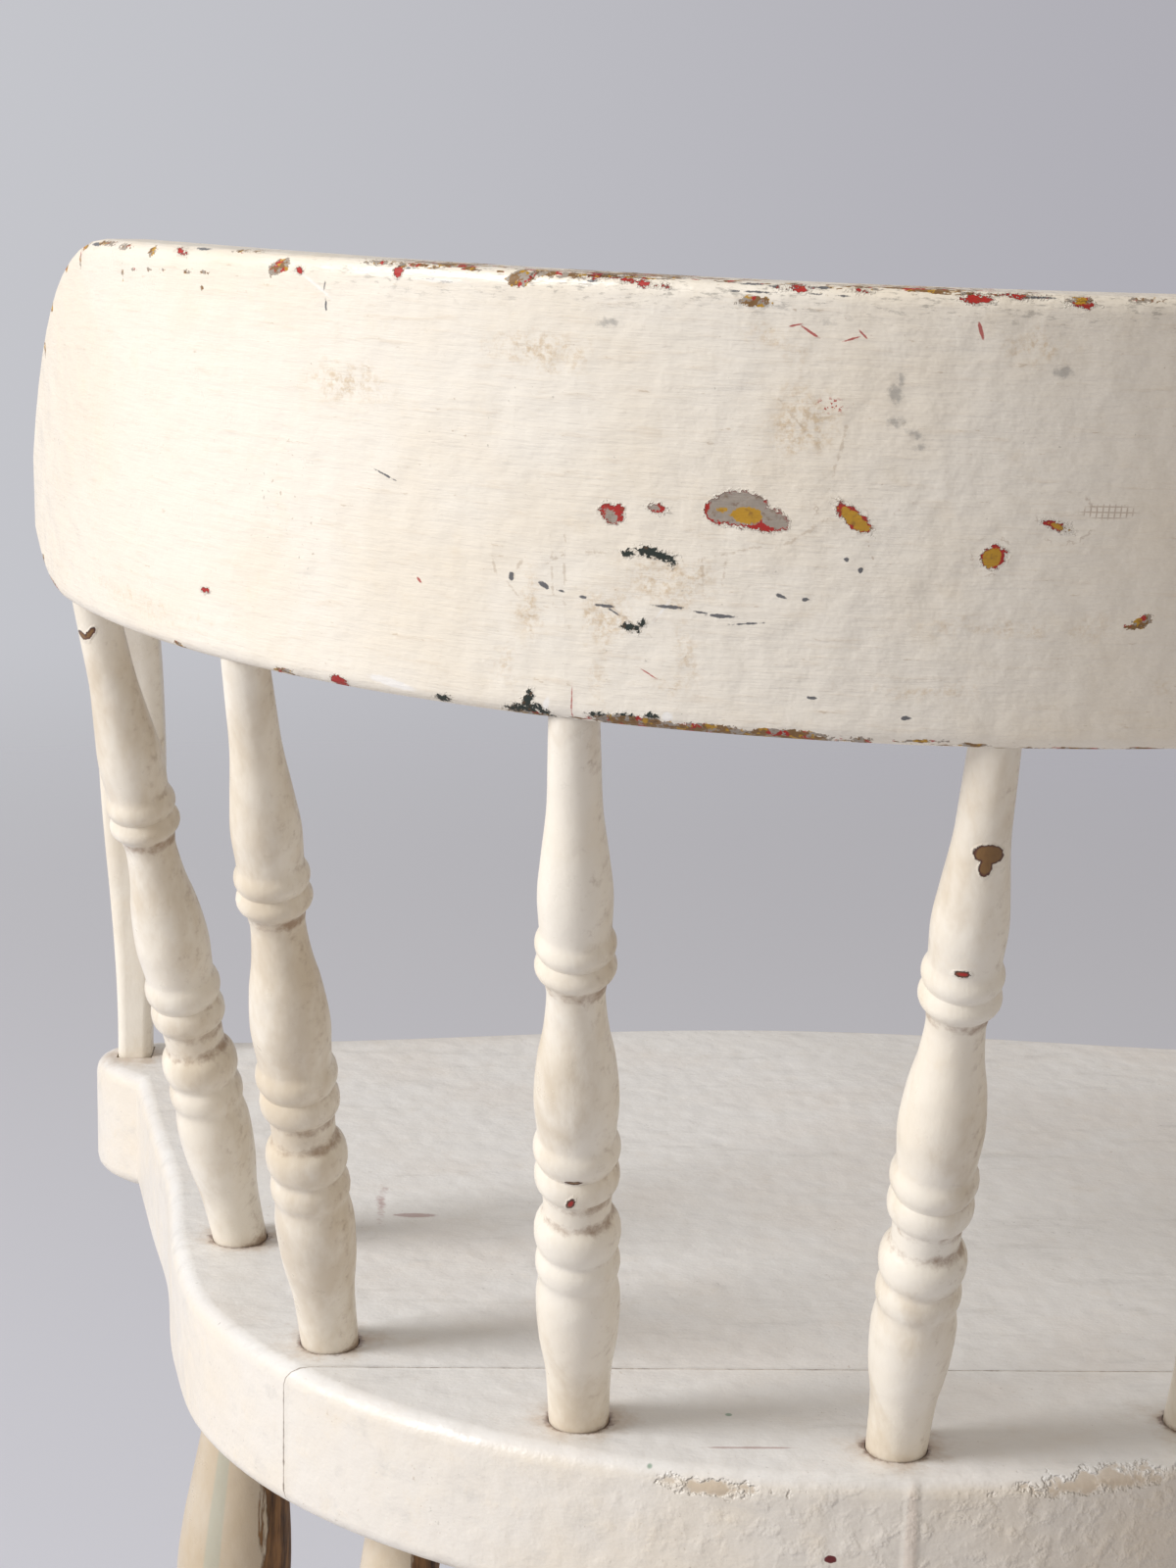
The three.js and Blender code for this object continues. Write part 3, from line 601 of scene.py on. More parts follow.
def arm_path(sign):
    inset = -CREST_THICK / 2 - ARM_WIDTH / 2 - 0.4
    lap = crest_drawn(sign * (CREST_HALF_LENGTH - 10), inset, ARM_ABOVE_CREST_LOW)
    rear = crest_drawn(sign * (CREST_HALF_LENGTH - ARM_LAP), inset, ARM_ABOVE_CREST_LOW)
    foot = sign * ARM_FOOT_HALF
    upright = foot - sign * ARM_SHOULDER_INSET
    return smooth_path([
        Vector((foot, ARM_FOOT_Y, -ARM_TENON_DEPTH)),
        Vector((foot, ARM_FOOT_Y, 0)),
        Vector((upright, ARM_FOOT_Y - 6, ARM_SHOULDER_HEIGHT / 2)),
        Vector((upright, ARM_FOOT_Y - 20, ARM_SHOULDER_HEIGHT)),
        Vector((upright, ARM_FOOT_Y - 62, ARM_HEIGHT - 18)),
        Vector((foot - sign * ARM_REAR_INSET, ARM_FOOT_Y - 125, ARM_HEIGHT - 4)),
        Vector((lap.x, lap.y, ARM_HEIGHT)),
        Vector((rear.x, rear.y, ARM_HEIGHT + 1)),
    ], ARM_STEPS + 1)


def arm_frames(sign):
    """Place, way across and way up of the arm's section at each step of its path."""
    path = arm_path(sign)
    frames = []
    for i, place in enumerate(path):
        along = (path[min(i + 1, ARM_STEPS)] - path[max(i - 1, 0)]).normalized()
        across = Vector((-along.y, along.x, 0))
        if across.length < 0.35:
            across = Vector((1, 0, 0))
        across.normalize()
        if across.x < 0:
            across.negate()
        across = across.lerp(Vector((1, 0, 0)), smooth_step(ARM_HEIGHT - place.z, 0, 60)).normalized()
        across = (across - along * across.dot(along)).normalized()
        climb = smooth_step(place.z, 5, ARM_SHOULDER_HEIGHT * 0.8)
        width = ARM_FOOT_WIDTH + (ARM_WIDTH - ARM_FOOT_WIDTH) * climb
        frames.append((place, across * width / 2, along.cross(across) * ARM_THICK / 2))
    return frames


def arm_bar(sign):
    """A straight bar with a rounded oblong section, carried onto the arm's path."""
    bar = begin(bpy.ops.mesh.primitive_plane_add, size=2 * MM)
    with editing(bar):
        bpy.ops.mesh.bevel(offset=0.55 * MM, segments=BEVEL_STEPS, affect="VERTICES")
        for step in range(ARM_STEPS):
            bpy.ops.mesh.select_mode(type="FACE")
            bpy.ops.mesh.extrude_region_move(TRANSFORM_OT_translate={"value": (0, 0, MM)})
        face_outwards()
    frames = arm_frames(sign)

    def carried(p):
        place, across, up = frames[min(int(round(p.z)), ARM_STEPS)]
        return at(*(place + across * p.x + up * p.y))

    keep_timber(bar)
    move_points(bar, carried)
    with editing(bar):
        face_outwards()
    return bar


arms = {"left": arm_bar(-1), "right": arm_bar(1)}
print("arms:", [len(arm.data.polygons) for arm in arms.values()])

# %% [markdown]
# ## The screws
#
# Two slotted screws hold each arm to the crest board, driven from the sitter's side so that
# the board's outer face stays whole. Their heads sit just under the arm's edge.

# %% Screws
SCREW_RADIUS, SCREW_HEAD_RADIUS, SCREW_HEAD = 2.0, 4.0, 2.4
SCREW_SINK, SCREW_END_DISTANCE, SCREW_SPACING, SCREW_LENGTH = 0.6, 14.0, 22.0, 33.0
SLOT_WIDTH, SLOT_DEPTH = 0.9, 0.9
screw_rings = [(0, 1.2), (1.5, SCREW_RADIUS), (SCREW_LENGTH - SCREW_HEAD, SCREW_RADIUS)]
screw_rings += [(SCREW_LENGTH - 0.4, 3.9), (SCREW_LENGTH - 0.1, 3.8), (SCREW_LENGTH + 0.15, 3.2)]
screw_master = turn_piece(screw_rings, 24)
slot = begin(bpy.ops.mesh.primitive_cube_add, size=1, location=(0, 0, SCREW_LENGTH * MM))
slot.scale = (SLOT_WIDTH * MM, 10 * MM, 2 * SLOT_DEPTH * MM)
use_modifier(screw_master, "BOOLEAN", object=slot, operation="DIFFERENCE", solver="EXACT")
bpy.data.objects.remove(slot)
screws = {}
crest_holes = []
arm_holes = {"left": [], "right": []}
for side, sign in (("left", -1), ("right", 1)):
    for i in range(2):
        distance = sign * (CREST_HALF_LENGTH - SCREW_END_DISTANCE - i * SCREW_SPACING)
        head = crest_place(distance, SCREW_SINK - CREST_THICK / 2 - ARM_WIDTH, ARM_ABOVE_CREST_LOW)
        outside = crest_place(distance, CREST_THICK / 2, ARM_ABOVE_CREST_LOW)
        way = (outside - head).normalized()
        tip = head + way * SCREW_LENGTH * MM
        screws[f"arm_screw_{side}_{i + 1}"] = set_between(screw_master, tip, head, SCREW_LENGTH)
        shank = (head - way * 4 * MM, tip + way * 0.3 * MM, SCREW_RADIUS + 0.3)
        crest_holes.append(shank)
        arm_holes[side].append(shank)
        arm_holes[side].append((head - way * 4 * MM, head + way * SCREW_HEAD * MM, SCREW_HEAD_RADIUS + 0.3))
bpy.data.objects.remove(screw_master)
print("screws:", len(screws))

# %% [markdown]
# ## Boring the joints and parting the seat
#
# Each joint is a round end in a round hole. The same axes that placed the spindles and legs
# bore their holes, with a hair's width of room for the glue.

# %% Joints
ROOM = 0.25
BIT_START = 8.0
SPINDLE_FOOT_RADIUS, SPINDLE_TOP_RADIUS, SPINDLE_TOP_SINK = 7.6, 5.5, 2.6
seat_holes = []
for foot, top in spindle_axes:
    way = (top - foot).normalized() * MM
    below = top - way * BIT_START
    sink, end = top + way * SPINDLE_TOP_SINK, top + way * (SPINDLE_TENON + ROOM)
    deep = foot - way * (SPINDLE_SOCKET + ROOM)
    seat_holes.append((deep, foot + way * BIT_START, SPINDLE_FOOT_RADIUS + ROOM))
    crest_holes.append((below, sink, SPINDLE_TOP_RADIUS + ROOM))
    crest_holes.append((below, end, SPINDLE_TENON_RADIUS + ROOM))
for foot, top in LEG_PLACES.values():
    way = (top - foot).normalized() * MM
    deep = top + way * (LEG_SOCKET + ROOM)
    seat_holes.append((top - way * BIT_START, deep, LEG_NECK_RADIUS + ROOM))
keep_timber(slab)
drill(slab, seat_holes)
drill(crest, crest_holes)
for side, holes in arm_holes.items():
    drill(arms[side], holes)
for sign in (-1, 1):
    ear = at(sign * ARM_FOOT_HALF, ARM_FOOT_Y, 0)
    mortise = begin(bpy.ops.mesh.primitive_cube_add, size=1, location=ear)
    size = (ARM_FOOT_WIDTH + 2 * ROOM, ARM_THICK + 2 * ROOM, 2 * ARM_TENON_DEPTH + 1)
    mortise.scale = Vector(size) * MM
    use_modifier(slab, "BOOLEAN", object=mortise, operation="DIFFERENCE", solver="EXACT")
    bpy.data.objects.remove(mortise)

boards = {}
for name, edge_y, keep in (("seat_rear_board", GLUE_LINE_Y, "clear_outer"),
                           ("seat_main_board", GLUE_LINE_Y + GLUE_GAP, "clear_inner")):
    only(slab)
    bpy.ops.object.duplicate()
    boards[name] = bpy.context.object
    with editing(boards[name]):
        cut(at(0, edge_y, 0), (0, 1, 0), use_fill=True, **{keep: True})
bpy.data.objects.remove(slab)
print("seat boards:", [len(board.data.polygons) for board in boards.values()])

# %% Name and place every piece
painted = {}
for name, board in boards.items():
    painted[name] = hand_in(board, name)
painted["crest_board"] = hand_in(crest, "crest_board")
for number, spindle in enumerate(spindles, 1):
    painted[f"back_spindle_{number}"] = hand_in(spindle, f"back_spindle_{number}")
for side, arm in arms.items():
    painted["arm_" + side] = hand_in(arm, "arm_" + side)
for name, piece in {**legs, **stretchers}.items():
    painted[name] = hand_in(piece, name)
for name, screw in screws.items():
    painted[name] = hand_in(screw, name)
for piece in painted.values():
    smooth(piece)
    use_modifier(piece, "WEIGHTED_NORMAL", keep_sharp=True, weight=100)
print("pieces:", len(painted))

# %% [markdown]
# ## Node helpers
#
# The paint is built from small shader node groups with named inputs and outputs. These
# helpers add a node, join its inputs, and give back the output that is needed next.


# %% Node helpers
def plug(tree, socket, value):
    """Join a socket to an output, or set it to a plain value."""
    if isinstance(value, bpy.types.NodeSocket):
        tree.links.new(value, socket)
    else:
        socket.default_value = value


def maths(tree, operation, *values):
    node = tree.nodes.new("ShaderNodeMath")
    node.operation = operation
    for socket, value in zip(node.inputs, values):
        plug(tree, socket, value)
    return node.outputs[0]


def plus(tree, first, second):
    return maths(tree, "ADD", first, second)


def times(tree, first, second):
    return maths(tree, "MULTIPLY", first, second)


def off_middle(tree, value, weight):
    """How far a noise is from its middle value, times a weight."""
    return times(tree, maths(tree, "SUBTRACT", value, 0.5), weight)


def vector_maths(tree, operation, first, second):
    node = tree.nodes.new("ShaderNodeVectorMath")
    node.operation = operation
    plug(tree, node.inputs[0], first)
    plug(tree, node.inputs["Scale" if operation == "SCALE" else 1], second)
    return node.outputs["Value" if operation == "LENGTH" else "Vector"]


def noise(tree, vector, scale, detail=3.0, roughness=0.55):
    node = tree.nodes.new("ShaderNodeTexNoise")
    node.inputs["Detail"].default_value = detail
    node.inputs["Roughness"].default_value = roughness
    plug(tree, node.inputs["Vector"], vector)
    plug(tree, node.inputs["Scale"], scale)
    return node.outputs["Fac"]


def ease(tree, value, low, high, to_low=0.0, to_high=1.0):
    """A soft step: to_low where value is at low, to_high where it is at high."""
    node = tree.nodes.new("ShaderNodeMapRange")
    node.interpolation_type = "SMOOTHSTEP"
    for name, setting in (("Value", value), ("From Min", low), ("From Max", high),
                          ("To Min", to_low), ("To Max", to_high)):
        plug(tree, node.inputs[name], setting)
    return node.outputs["Result"]


def blend(tree, share, under, over):
    node = tree.nodes.new("ShaderNodeMix")
    node.data_type = "RGBA"
    plug(tree, node.inputs["Factor"], share)
    plug(tree, node.inputs[6], under)
    plug(tree, node.inputs[7], over)
    return node.outputs[2]


def parts(tree, vector):
    node = tree.nodes.new("ShaderNodeSeparateXYZ")
    plug(tree, node.inputs[0], vector)
    return node.outputs


def new_group(name, inputs, outputs):
    """A shader node group; inputs and outputs are (name, kind, value) and (name, kind)."""
    tree = bpy.data.node_groups.new(name, "ShaderNodeTree")
    for label, kind, value in inputs:
        socket = tree.interface.new_socket(label, in_out="INPUT", socket_type="NodeSocket" + kind)
        socket.default_value = value
    for label, kind in outputs:
        tree.interface.new_socket(label, in_out="OUTPUT", socket_type="NodeSocket" + kind)
    return tree, tree.nodes.new("NodeGroupInput").outputs, tree.nodes.new("NodeGroupOutput").inputs


def use_group(tree, group, **values):
    """Place a group in a tree. A keyword such as half_size sets the input Half Size."""
    node = tree.nodes.new("ShaderNodeGroup")
    node.node_tree = group
    for key, value in values.items():
        plug(tree, node.inputs[key.replace("_", " ").title()], value)
    return node.outputs


# %% [markdown]
# ## What the old paint shows
#
# Every mark is held as a field in millimetres: below nought inside the mark, above nought
# outside. That makes marks easy to join (the smaller field wins), to fray (noise is added),
# and to read at any width: the bare wood inside, the broken lip of paint at its edge.
# - Placed patch, Turned patch: one oval mark at a place, joined to the marks before it.
# - Frayed edge: breaks a mark's outline up into flakes.
# - Brushed coat: the colour, gloss and relief of paint brushed on thickly by hand.
# - Coats laid bare: the older colours under the white.
# - Specks: small pits and dirt caught in the paint.
# - Grime: brown dirt that gathers in hollows and corners; on the turnings it is also painted heavier on the
#   side away from the window, as painted shade.

# %% Shared paint groups
CREAM = (0.85, 0.79, 0.69, 1)
CREAM_WARM = (0.81, 0.71, 0.56, 1)
RED_COAT = (0.40, 0.012, 0.006, 1)
GREY_COAT = (0.34, 0.29, 0.24, 1)
MUSTARD_COAT = (0.47, 0.25, 0.012, 1)
DARK_COAT = (0.012, 0.02, 0.013, 1)
BARE_WOOD = (0.15, 0.062, 0.016, 1)
DIRT_AND_SHADE_TONE = (0.21, 0.09, 0.022, 1)
FAR_FROM_MARK = 60.0


def make_patch_group(name, turned):
    """An oval mark. Its vector is scaled and shifted so that its edge lies at the width."""
    inputs = [("Field", "Float", FAR_FROM_MARK), ("Vector", "Vector", (0, 0, 0)),
              ("Scale", "Vector", (1, 1, 1)), ("Shift", "Vector", (0, 0, 0)),
              ("Width", "Float", 1.0), ("Centre", "Vector", (0, 0, 0)), ("Turn", "Float", 0.0)]
    tree, given, result = new_group(name, inputs, [("Field", "Float")])
    vector = given["Vector"]
    if turned:
        turn = tree.nodes.new("ShaderNodeVectorRotate")
        turn.rotation_type = "Y_AXIS"
        plug(tree, turn.inputs["Vector"], vector)
        plug(tree, turn.inputs["Center"], given["Centre"])
        plug(tree, turn.inputs["Angle"], given["Turn"])
        vector = turn.outputs[0]
    oval = tree.nodes.new("ShaderNodeVectorMath")
    oval.operation = "MULTIPLY_ADD"
    for socket, value in zip(oval.inputs, (vector, given["Scale"], given["Shift"])):
        plug(tree, socket, value)
    away = vector_maths(tree, "LENGTH", oval.outputs["Vector"], (0, 0, 0))
    here = maths(tree, "SUBTRACT", away, given["Width"])
    plug(tree, result["Field"], maths(tree, "MINIMUM", here, given["Field"]))
    return tree


def make_fray_group():
    inputs = [("Field", "Float", 0.0), ("Vector", "Vector", (0, 0, 0)), ("Amount", "Float", 1.0),
              ("Grain", "Float", 0.5)]
    tree, given, result = new_group("Frayed edge", inputs, [("Field", "Float")])
    flakes = noise(tree, given["Vector"], given["Grain"], 3.0, 0.65)
    shift = off_middle(tree, flakes, given["Amount"])
    plug(tree, result["Field"], plus(tree, given["Field"], shift))
    return tree


def make_coat_group():
    inputs = [("Vector", "Vector", (0, 0, 0)), ("Stretch", "Vector", (1, 1, 1)),
              ("Tone", "Color", CREAM), ("Warm Tone", "Color", CREAM_WARM), ("Relief", "Float", 1.0)]
    tree, given, result = new_group("Brushed coat", inputs,
                                    [("Color", "Color"), ("Roughness", "Float"), ("Height", "Float")])
    drawn = vector_maths(tree, "MULTIPLY", given["Vector"], given["Stretch"])
    strokes = noise(tree, drawn, 0.9, 3.0, 0.6)
    clouds = noise(tree, given["Vector"], 0.022, 3.0, 0.6)
    stains = noise(tree, given["Vector"], 0.11, 4.0, 0.65)
    lumps = noise(tree, given["Vector"], 0.13, 1.0, 0.4)
    skin = noise(tree, given["Vector"], 0.7, 1.0, 0.5)
    warm = times(tree, ease(tree, clouds, 0.40, 0.68), 0.45)
    warm = plus(tree, warm, times(tree, ease(tree, stains, 0.55, 0.75), 0.30))
    warm = plus(tree, warm, off_middle(tree, strokes, 0.25))
    plug(tree, result["Color"], blend(tree, warm, given["Tone"], given["Warm Tone"]))
    plug(tree, result["Roughness"], ease(tree, stains, 0.3, 0.75, 0.27, 0.46))
    height = plus(tree, times(tree, strokes, 0.10), times(tree, lumps, 0.65))
    height = plus(tree, height, times(tree, skin, 0.10))
    plug(tree, result["Height"], times(tree, height, given["Relief"]))
    return tree


def make_bare_group():
    inputs = [("Vector", "Vector", (0, 0, 0)), ("Field", "Float", 1.0), ("Grey", "Float", 1.0),
              ("Mustard", "Float", 1.0), ("Under Color", "Color", RED_COAT), ("Lip", "Float", 0.14)]
    tree, given, result = new_group("Coats laid bare", inputs,
                                    [("Color", "Color"), ("Mask", "Float"), ("Height", "Float")])
    dirt = noise(tree, given["Vector"], 0.8, 4.0, 0.6)
    color = blend(tree, ease(tree, given["Grey"], 0.1, -0.1), given["Under Color"], GREY_COAT)
    color = blend(tree, ease(tree, given["Mustard"], 0.1, -0.1), color, MUSTARD_COAT)
    dark = times(tree, ease(tree, dirt, 0.52, 0.72), 0.55)
    plug(tree, result["Color"], blend(tree, dark, color, BARE_WOOD))
    plug(tree, result["Mask"], ease(tree, given["Field"], 0.08, -0.08))
    curl = times(tree, ease(tree, given["Field"], 0.55, 0.08), given["Lip"])
    drop = times(tree, ease(tree, given["Field"], 0.12, -0.12), -0.45)
    plug(tree, result["Height"], plus(tree, curl, drop))
    return tree


def make_speck_group():
    inputs = [("Vector", "Vector", (0, 0, 0)), ("Level", "Float", 0.7)]
    tree, given, result = new_group("Specks", inputs, [("Mask", "Float"), ("Color", "Color")])
    fine = noise(tree, given["Vector"], 0.75, 2.0, 0.5)
    wide = noise(tree, given["Vector"], 0.035, 3.0, 0.5)
    here = plus(tree, fine, off_middle(tree, wide, 0.35))
    over = maths(tree, "SUBTRACT", here, given["Level"])
    plug(tree, result["Mask"], ease(tree, over, 0.0, 0.08))
    kind = noise(tree, given["Vector"], 0.09, 1.0, 0.5)
    color = blend(tree, ease(tree, kind, 0.45, 0.55), (0.30, 0.17, 0.07, 1), (0.22, 0.21, 0.18, 1))
    plug(tree, result["Color"], color)
    return tree


def make_grime_group():
    inputs = [("Vector", "Vector", (0, 0, 0)), ("Amount", "Float", 0.0)]
    tree, given, result = new_group("Grime", inputs, [("Mask", "Float")])
    smears_and_shadows = noise(tree, given["Vector"], 0.35, 4.0, 0.65)
    level = plus(tree, given["Amount"], maths(tree, "SUBTRACT", smears_and_shadows, 0.55))
    plug(tree, result["Mask"], ease(tree, level, 0.12, 0.62))
    return tree


PATCH = make_patch_group("Placed patch", False)
TURNED_PATCH = make_patch_group("Turned patch", True)
FRAY = make_fray_group()
COAT = make_coat_group()
BARE = make_bare_group()
SPECKS = make_speck_group()
GRIME_AND_SHADE = make_grime_group()
print("groups:", [group.name for group in bpy.data.node_groups])


# %% Material tools
def new_material(name):
    material = bpy.data.materials.new(name)
    material.use_nodes = True
    tree = material.node_tree
    return material, tree, tree.nodes["Principled BSDF"]


def timber_places(tree):
    """Where a point lies in the straight timber, in millimetres."""
    node = tree.nodes.new("ShaderNodeAttribute")
    node.attribute_name = "timber"
    return node.outputs["Vector"]


def chair_places(tree):
    """Where a point lies on the standing chair, in millimetres."""
    node = tree.nodes.new("ShaderNodeTexCoord")
    return vector_maths(tree, "SCALE", node.outputs["Object"], 1 / MM)


def marks_field(tree, vector, marks):
    """One field for a list of marks, each (centre, half size, turn in degrees)."""
    field = FAR_FROM_MARK
    for centre, half, turn in marks:
        width = min(half[0], half[2])
        scale = tuple(width / size for size in half)
        values = dict(field=field, vector=vector, scale=scale, width=width,
                      shift=tuple(-place * share for place, share in zip(centre, scale)))
        if turn:
            values.update(centre=centre, turn=math.radians(-turn))
        field = use_group(tree, TURNED_PATCH if turn else PATCH, **values)["Field"]
    return field


def fray(tree, vector, field, amount, grain):
    """Break a field's edge up; amount and 1 / grain are in millimetres."""
    if field is FAR_FROM_MARK:
        return field
    return use_group(tree, FRAY, field=field, vector=vector, amount=amount, grain=grain)["Field"]


def frayed(tree, vector, marks, amount, grain):
    return fray(tree, vector, marks_field(tree, vector, marks), amount, grain)


def stretched(tree, vector, *shares):
    """A vector squeezed by a share each way, so that noise read at it is drawn out."""
    return vector_maths(tree, "MULTIPLY", vector, shares)


def facing(tree):
    """The way a face points, as X, Y and Z."""
    return parts(tree, tree.nodes.new("ShaderNodeNewGeometry").outputs["Normal"])


def specked(tree, vector, color, level, share):
    specks = use_group(tree, SPECKS, vector=vector, level=level)
    return blend(tree, times(tree, specks["Mask"], share), color, specks["Color"])


def lay_bare(tree, vector, color, height, field, **coats):
    """Break the paint away inside a field: the new colour, height and mask."""
    if field is FAR_FROM_MARK:
        return color, height, 0.0
    bare = use_group(tree, BARE, vector=vector, field=field, **coats)
    color = blend(tree, bare["Mask"], color, bare["Color"])
    return color, plus(tree, height, bare["Height"]), bare["Mask"]


def finish_paint(tree, shader, color, roughness, height):
    """Plug a paint in, its height in millimetres as relief."""
    bump = tree.nodes.new("ShaderNodeBump")
    bump.inputs["Distance"].default_value = MM
    bump.inputs["Strength"].default_value = 1.0
    plug(tree, bump.inputs["Height"], height)
    plug(tree, shader.inputs["Base Color"], color)
    plug(tree, shader.inputs["Roughness"], roughness)
    plug(tree, shader.inputs["Normal"], bump.outputs["Normal"])


# %% [markdown]
# ## The crest board's paint
#
# The board carries the marks that make this chair. Each mark is placed on the outer face of
# the straight plank: along it from the middle, and up from its lower edge, with its half
# length, half height and slant. Knocks on the face broke through to red, then grey, then
# mustard; other spots are green-black; the edges are rubbed to brown, grey and mustard.
# The board is painted in lengths. Each has a material with only the marks that can show
# there, which keeps the picture quick to render and changes nothing in it.

# %% Crest marks
STREAK_TONE = (0.62, 0.47, 0.31, 1)
OCHRE_TONE = (0.58, 0.41, 0.22, 1)
SMUDGE_TONE = (0.20, 0.20, 0.195, 1)
DASH_TONE = (0.42, 0.29, 0.16, 1)
TAN_TONE = (0.32, 0.20, 0.09, 1)
RIDGE_HIGHLIGHT_TONE = (0.88, 0.87, 0.86, 1)
LEFT_END_TONE = (0.76, 0.66, 0.54, 1)
SHADED_RIGHT_TONE = (0.62, 0.52, 0.40, 1)
EDGE_DIRT_TONE = (0.16, 0.15, 0.13, 1)
EDGE_WOOD_TONE = (0.22, 0.115, 0.035, 1)
SPECKLE_TONE = (0.45, 0.07, 0.045, 1)
SCRATCH_TONE = (0.05, 0.055, 0.07, 1)
CLOTH_PRINT = ((14.2, 51.6, 5.6, 1.6, 0),)
THREADS_PER_MM = 5.4
NONE_OF_IT = 9.0
COAT_EDGE = 20.0

OUTER_FACE = -CREST_THICK / 2
CREST_BORDERS = (-210.0, -120.0, -85.0, -62.0, -30.0)
CREST_ZONES = tuple(zip((-CREST_HALF_LENGTH, *CREST_BORDERS), (*CREST_BORDERS, CREST_HALF_LENGTH)))
MARK_MARGIN = 14.0

RED_CHIPS = (
    (-79.6, 46.2, 2.4, 1.8, 25), (-78.3, 47.0, 1.2, 1.2, 0), (-70.6, 48.0, 1.8, 0.9, 10),
    (-54.8, 49.2, 5.6, 3.6, 0), (-58.6, 48.1, 2.7, 2.3, 0), (-48.6, 47.6, 3.4, 1.9, 28),
    (-60.6, 48.8, 0.9, 1.3, 25), (-58.6, 46.3, 1.2, 0.6, 15), (-52.6, 45.7, 1.6, 0.6, 0),
    (-49.5, 45.9, 1.6, 1.2, 20), (-50.6, 50.4, 1.2, 1.0, 0), (-46.4, 46.3, 0.7, 0.6, 0),
    (-33.0, 48.4, 3.9, 1.5, 38), (-35.2, 50.4, 1.2, 0.8, 0), (-6.4, 41.8, 2.1, 2.5, 25),
    (5.0, 48.5, 2.3, 0.75, 18), (-185.6, 16.4, 1.3, 0.8, 0), (-15.0, 92.3, 2.1, 0.7, 0),
    (-7.5, 93.0, 1.7, 0.2, 0), (3.9, 91.9, 1.6, 0.5, 0), (-153.0, 90.6, 0.9, 0.6, 0),
    (-127.3, 91.8, 1.0, 1.0, 0), (-192.5, 92.4, 1.9, 0.5, 10), (-97.9, 92.7, 0.7, 0.5, 0),
    (-84.9, 93.3, 1.8, 0.3, 0), (-78.6, 92.9, 1.7, 0.4, 8), (-75.7, 92.5, 1.1, 0.5, 15),
    (-73.5, 92.1, 1.1, 0.2, 0), (-47.3, 92.8, 1.9, 0.4, 0), (-35.9, 93.0, 0.9, 0.3, 0),
    (-143.6, 1.2, 2.2, 1.6, 0),
)
GREY_INSIDE = (
    (-79.9, 45.7, 1.6, 1.0, 30), (-71.3, 48.2, 1.0, 0.6, 10), (-54.8, 49.3, 5.5, 3.4, 0),
    (-58.4, 48.2, 2.4, 2.0, 0), (-48.6, 47.8, 3.2, 1.6, 28),
)
MUSTARD_INSIDE = (
    (-53.2, 47.9, 2.9, 1.7, 5), (-33.0, 48.3, 3.7, 1.35, 38), (-6.7, 41.5, 1.7, 2.0, 25),
    (5.2, 48.4, 1.9, 0.5, 18), (-58.2, 48.6, 1.0, 0.5, 0), (3.9, 92.4, 1.4, 0.4, 0),
)
WOOD_CHIPS = (
    (-158.6, 91.0, 2.9, 1.5, -22), (-161.0, 90.2, 0.8, 1.2, 0), (-133.2, 93.3, 3.1, 0.5, 0),
    (-173.2, 93.5, 1.3, 0.3, 0), (-168.4, 93.7, 1.2, 0.3, 0), (-100.4, 92.0, 2.7, 1.7, 0),
    (-95.4, 93.2, 3.2, 0.6, 0), (-91.0, 93.1, 2.4, 0.5, 0), (3.8, 92.7, 2.0, 0.5, 0),
    (-204.4, 91.9, 1.6, 1.0, 0), (-241.0, 91.7, 2.4, 1.0, -10), (-253.9, 86.6, 1.4, 1.5, 0),
    (-242.6, 88.6, 0.5, 2.0, 0), (-268.1, 76.0, 1.0, 1.4, 0), (-277.5, 65.1, 0.8, 1.8, 0),
    (-289.4, 7.0, 1.8, 2.4, 30), (-277.0, 2.8, 7.0, 1.1, 12), (-198.1, 0.9, 1.8, 1.0, 0),
    (-54.6, 90.1, 3.1, 1.0, 0), (-212.3, 87.6, 0.8, 0.3, 0), (-205.0, 87.9, 1.0, 0.3, 0),
    (-199.0, 87.9, 0.7, 0.3, 0), (-189.5, 88.0, 1.0, 0.4, 0), (-183.0, 88.4, 1.3, 0.3, 0),
    (-184.0, 85.0, 0.6, 0.5, 0), (-217.7, 86.5, 0.3, 1.2, 0), (-228.0, 92.8, 4.0, 0.5, 0),
    (-217.8, 92.4, 2.6, 0.7, 0), (-124.0, 93.3, 4.0, 0.3, 0), (15.6, 92.9, 2.5, 0.4, 0),
    (40.0, 92.8, 4.0, 0.5, 0), (96.0, 92.4, 3.0, 0.8, 0), (188.0, 92.4, 9.0, 0.8, 0),
    (249.0, 89.0, 4.0, 1.6, 12), (-73.0, 1.0, 9.0, 1.8, 0), (-58.0, 0.9, 9.0, 1.7, 0),
    (-43.0, 0.9, 9.0, 1.8, 0), (23.9, 28.8, 2.2, 1.3, -25), (22.0, 27.6, 1.2, 0.5, 0),
    (-27.8, 1.0, 2.0, 0.9, 0), (-96.0, 0.3, 5.0, 0.9, 0),
)
TAN_LINES = (
    (-76.1, 24.4, 3.2, 0.2, 35), (-71.9, 23.4, 1.9, 0.2, -32), (-90.5, 35.8, 1.7, 0.2, -33),
    (-91.5, 31.5, 3.3, 0.2, 86), (-88.9, 32.7, 3.6, 0.2, 88), (-84.8, 37.5, 3.6, 0.2, -6),
    (-55.7, 40.0, 3.7, 0.2, -17), (-61.1, 35.8, 2.0, 0.2, 86), (-56.8, 36.1, 1.7, 0.2, -87),
    (-42.6, 44.6, 2.6, 0.25, -36), (-44.6, 66.8, 2.3, 0.2, 49), (-104.3, 32.8, 1.3, 0.2, 74),
    (-98.8, 33.2, 1.4, 0.2, -63), (-99.9, 27.9, 1.5, 0.2, 54), (-36.8, 62.0, 0.2, 4.0, 10),
)
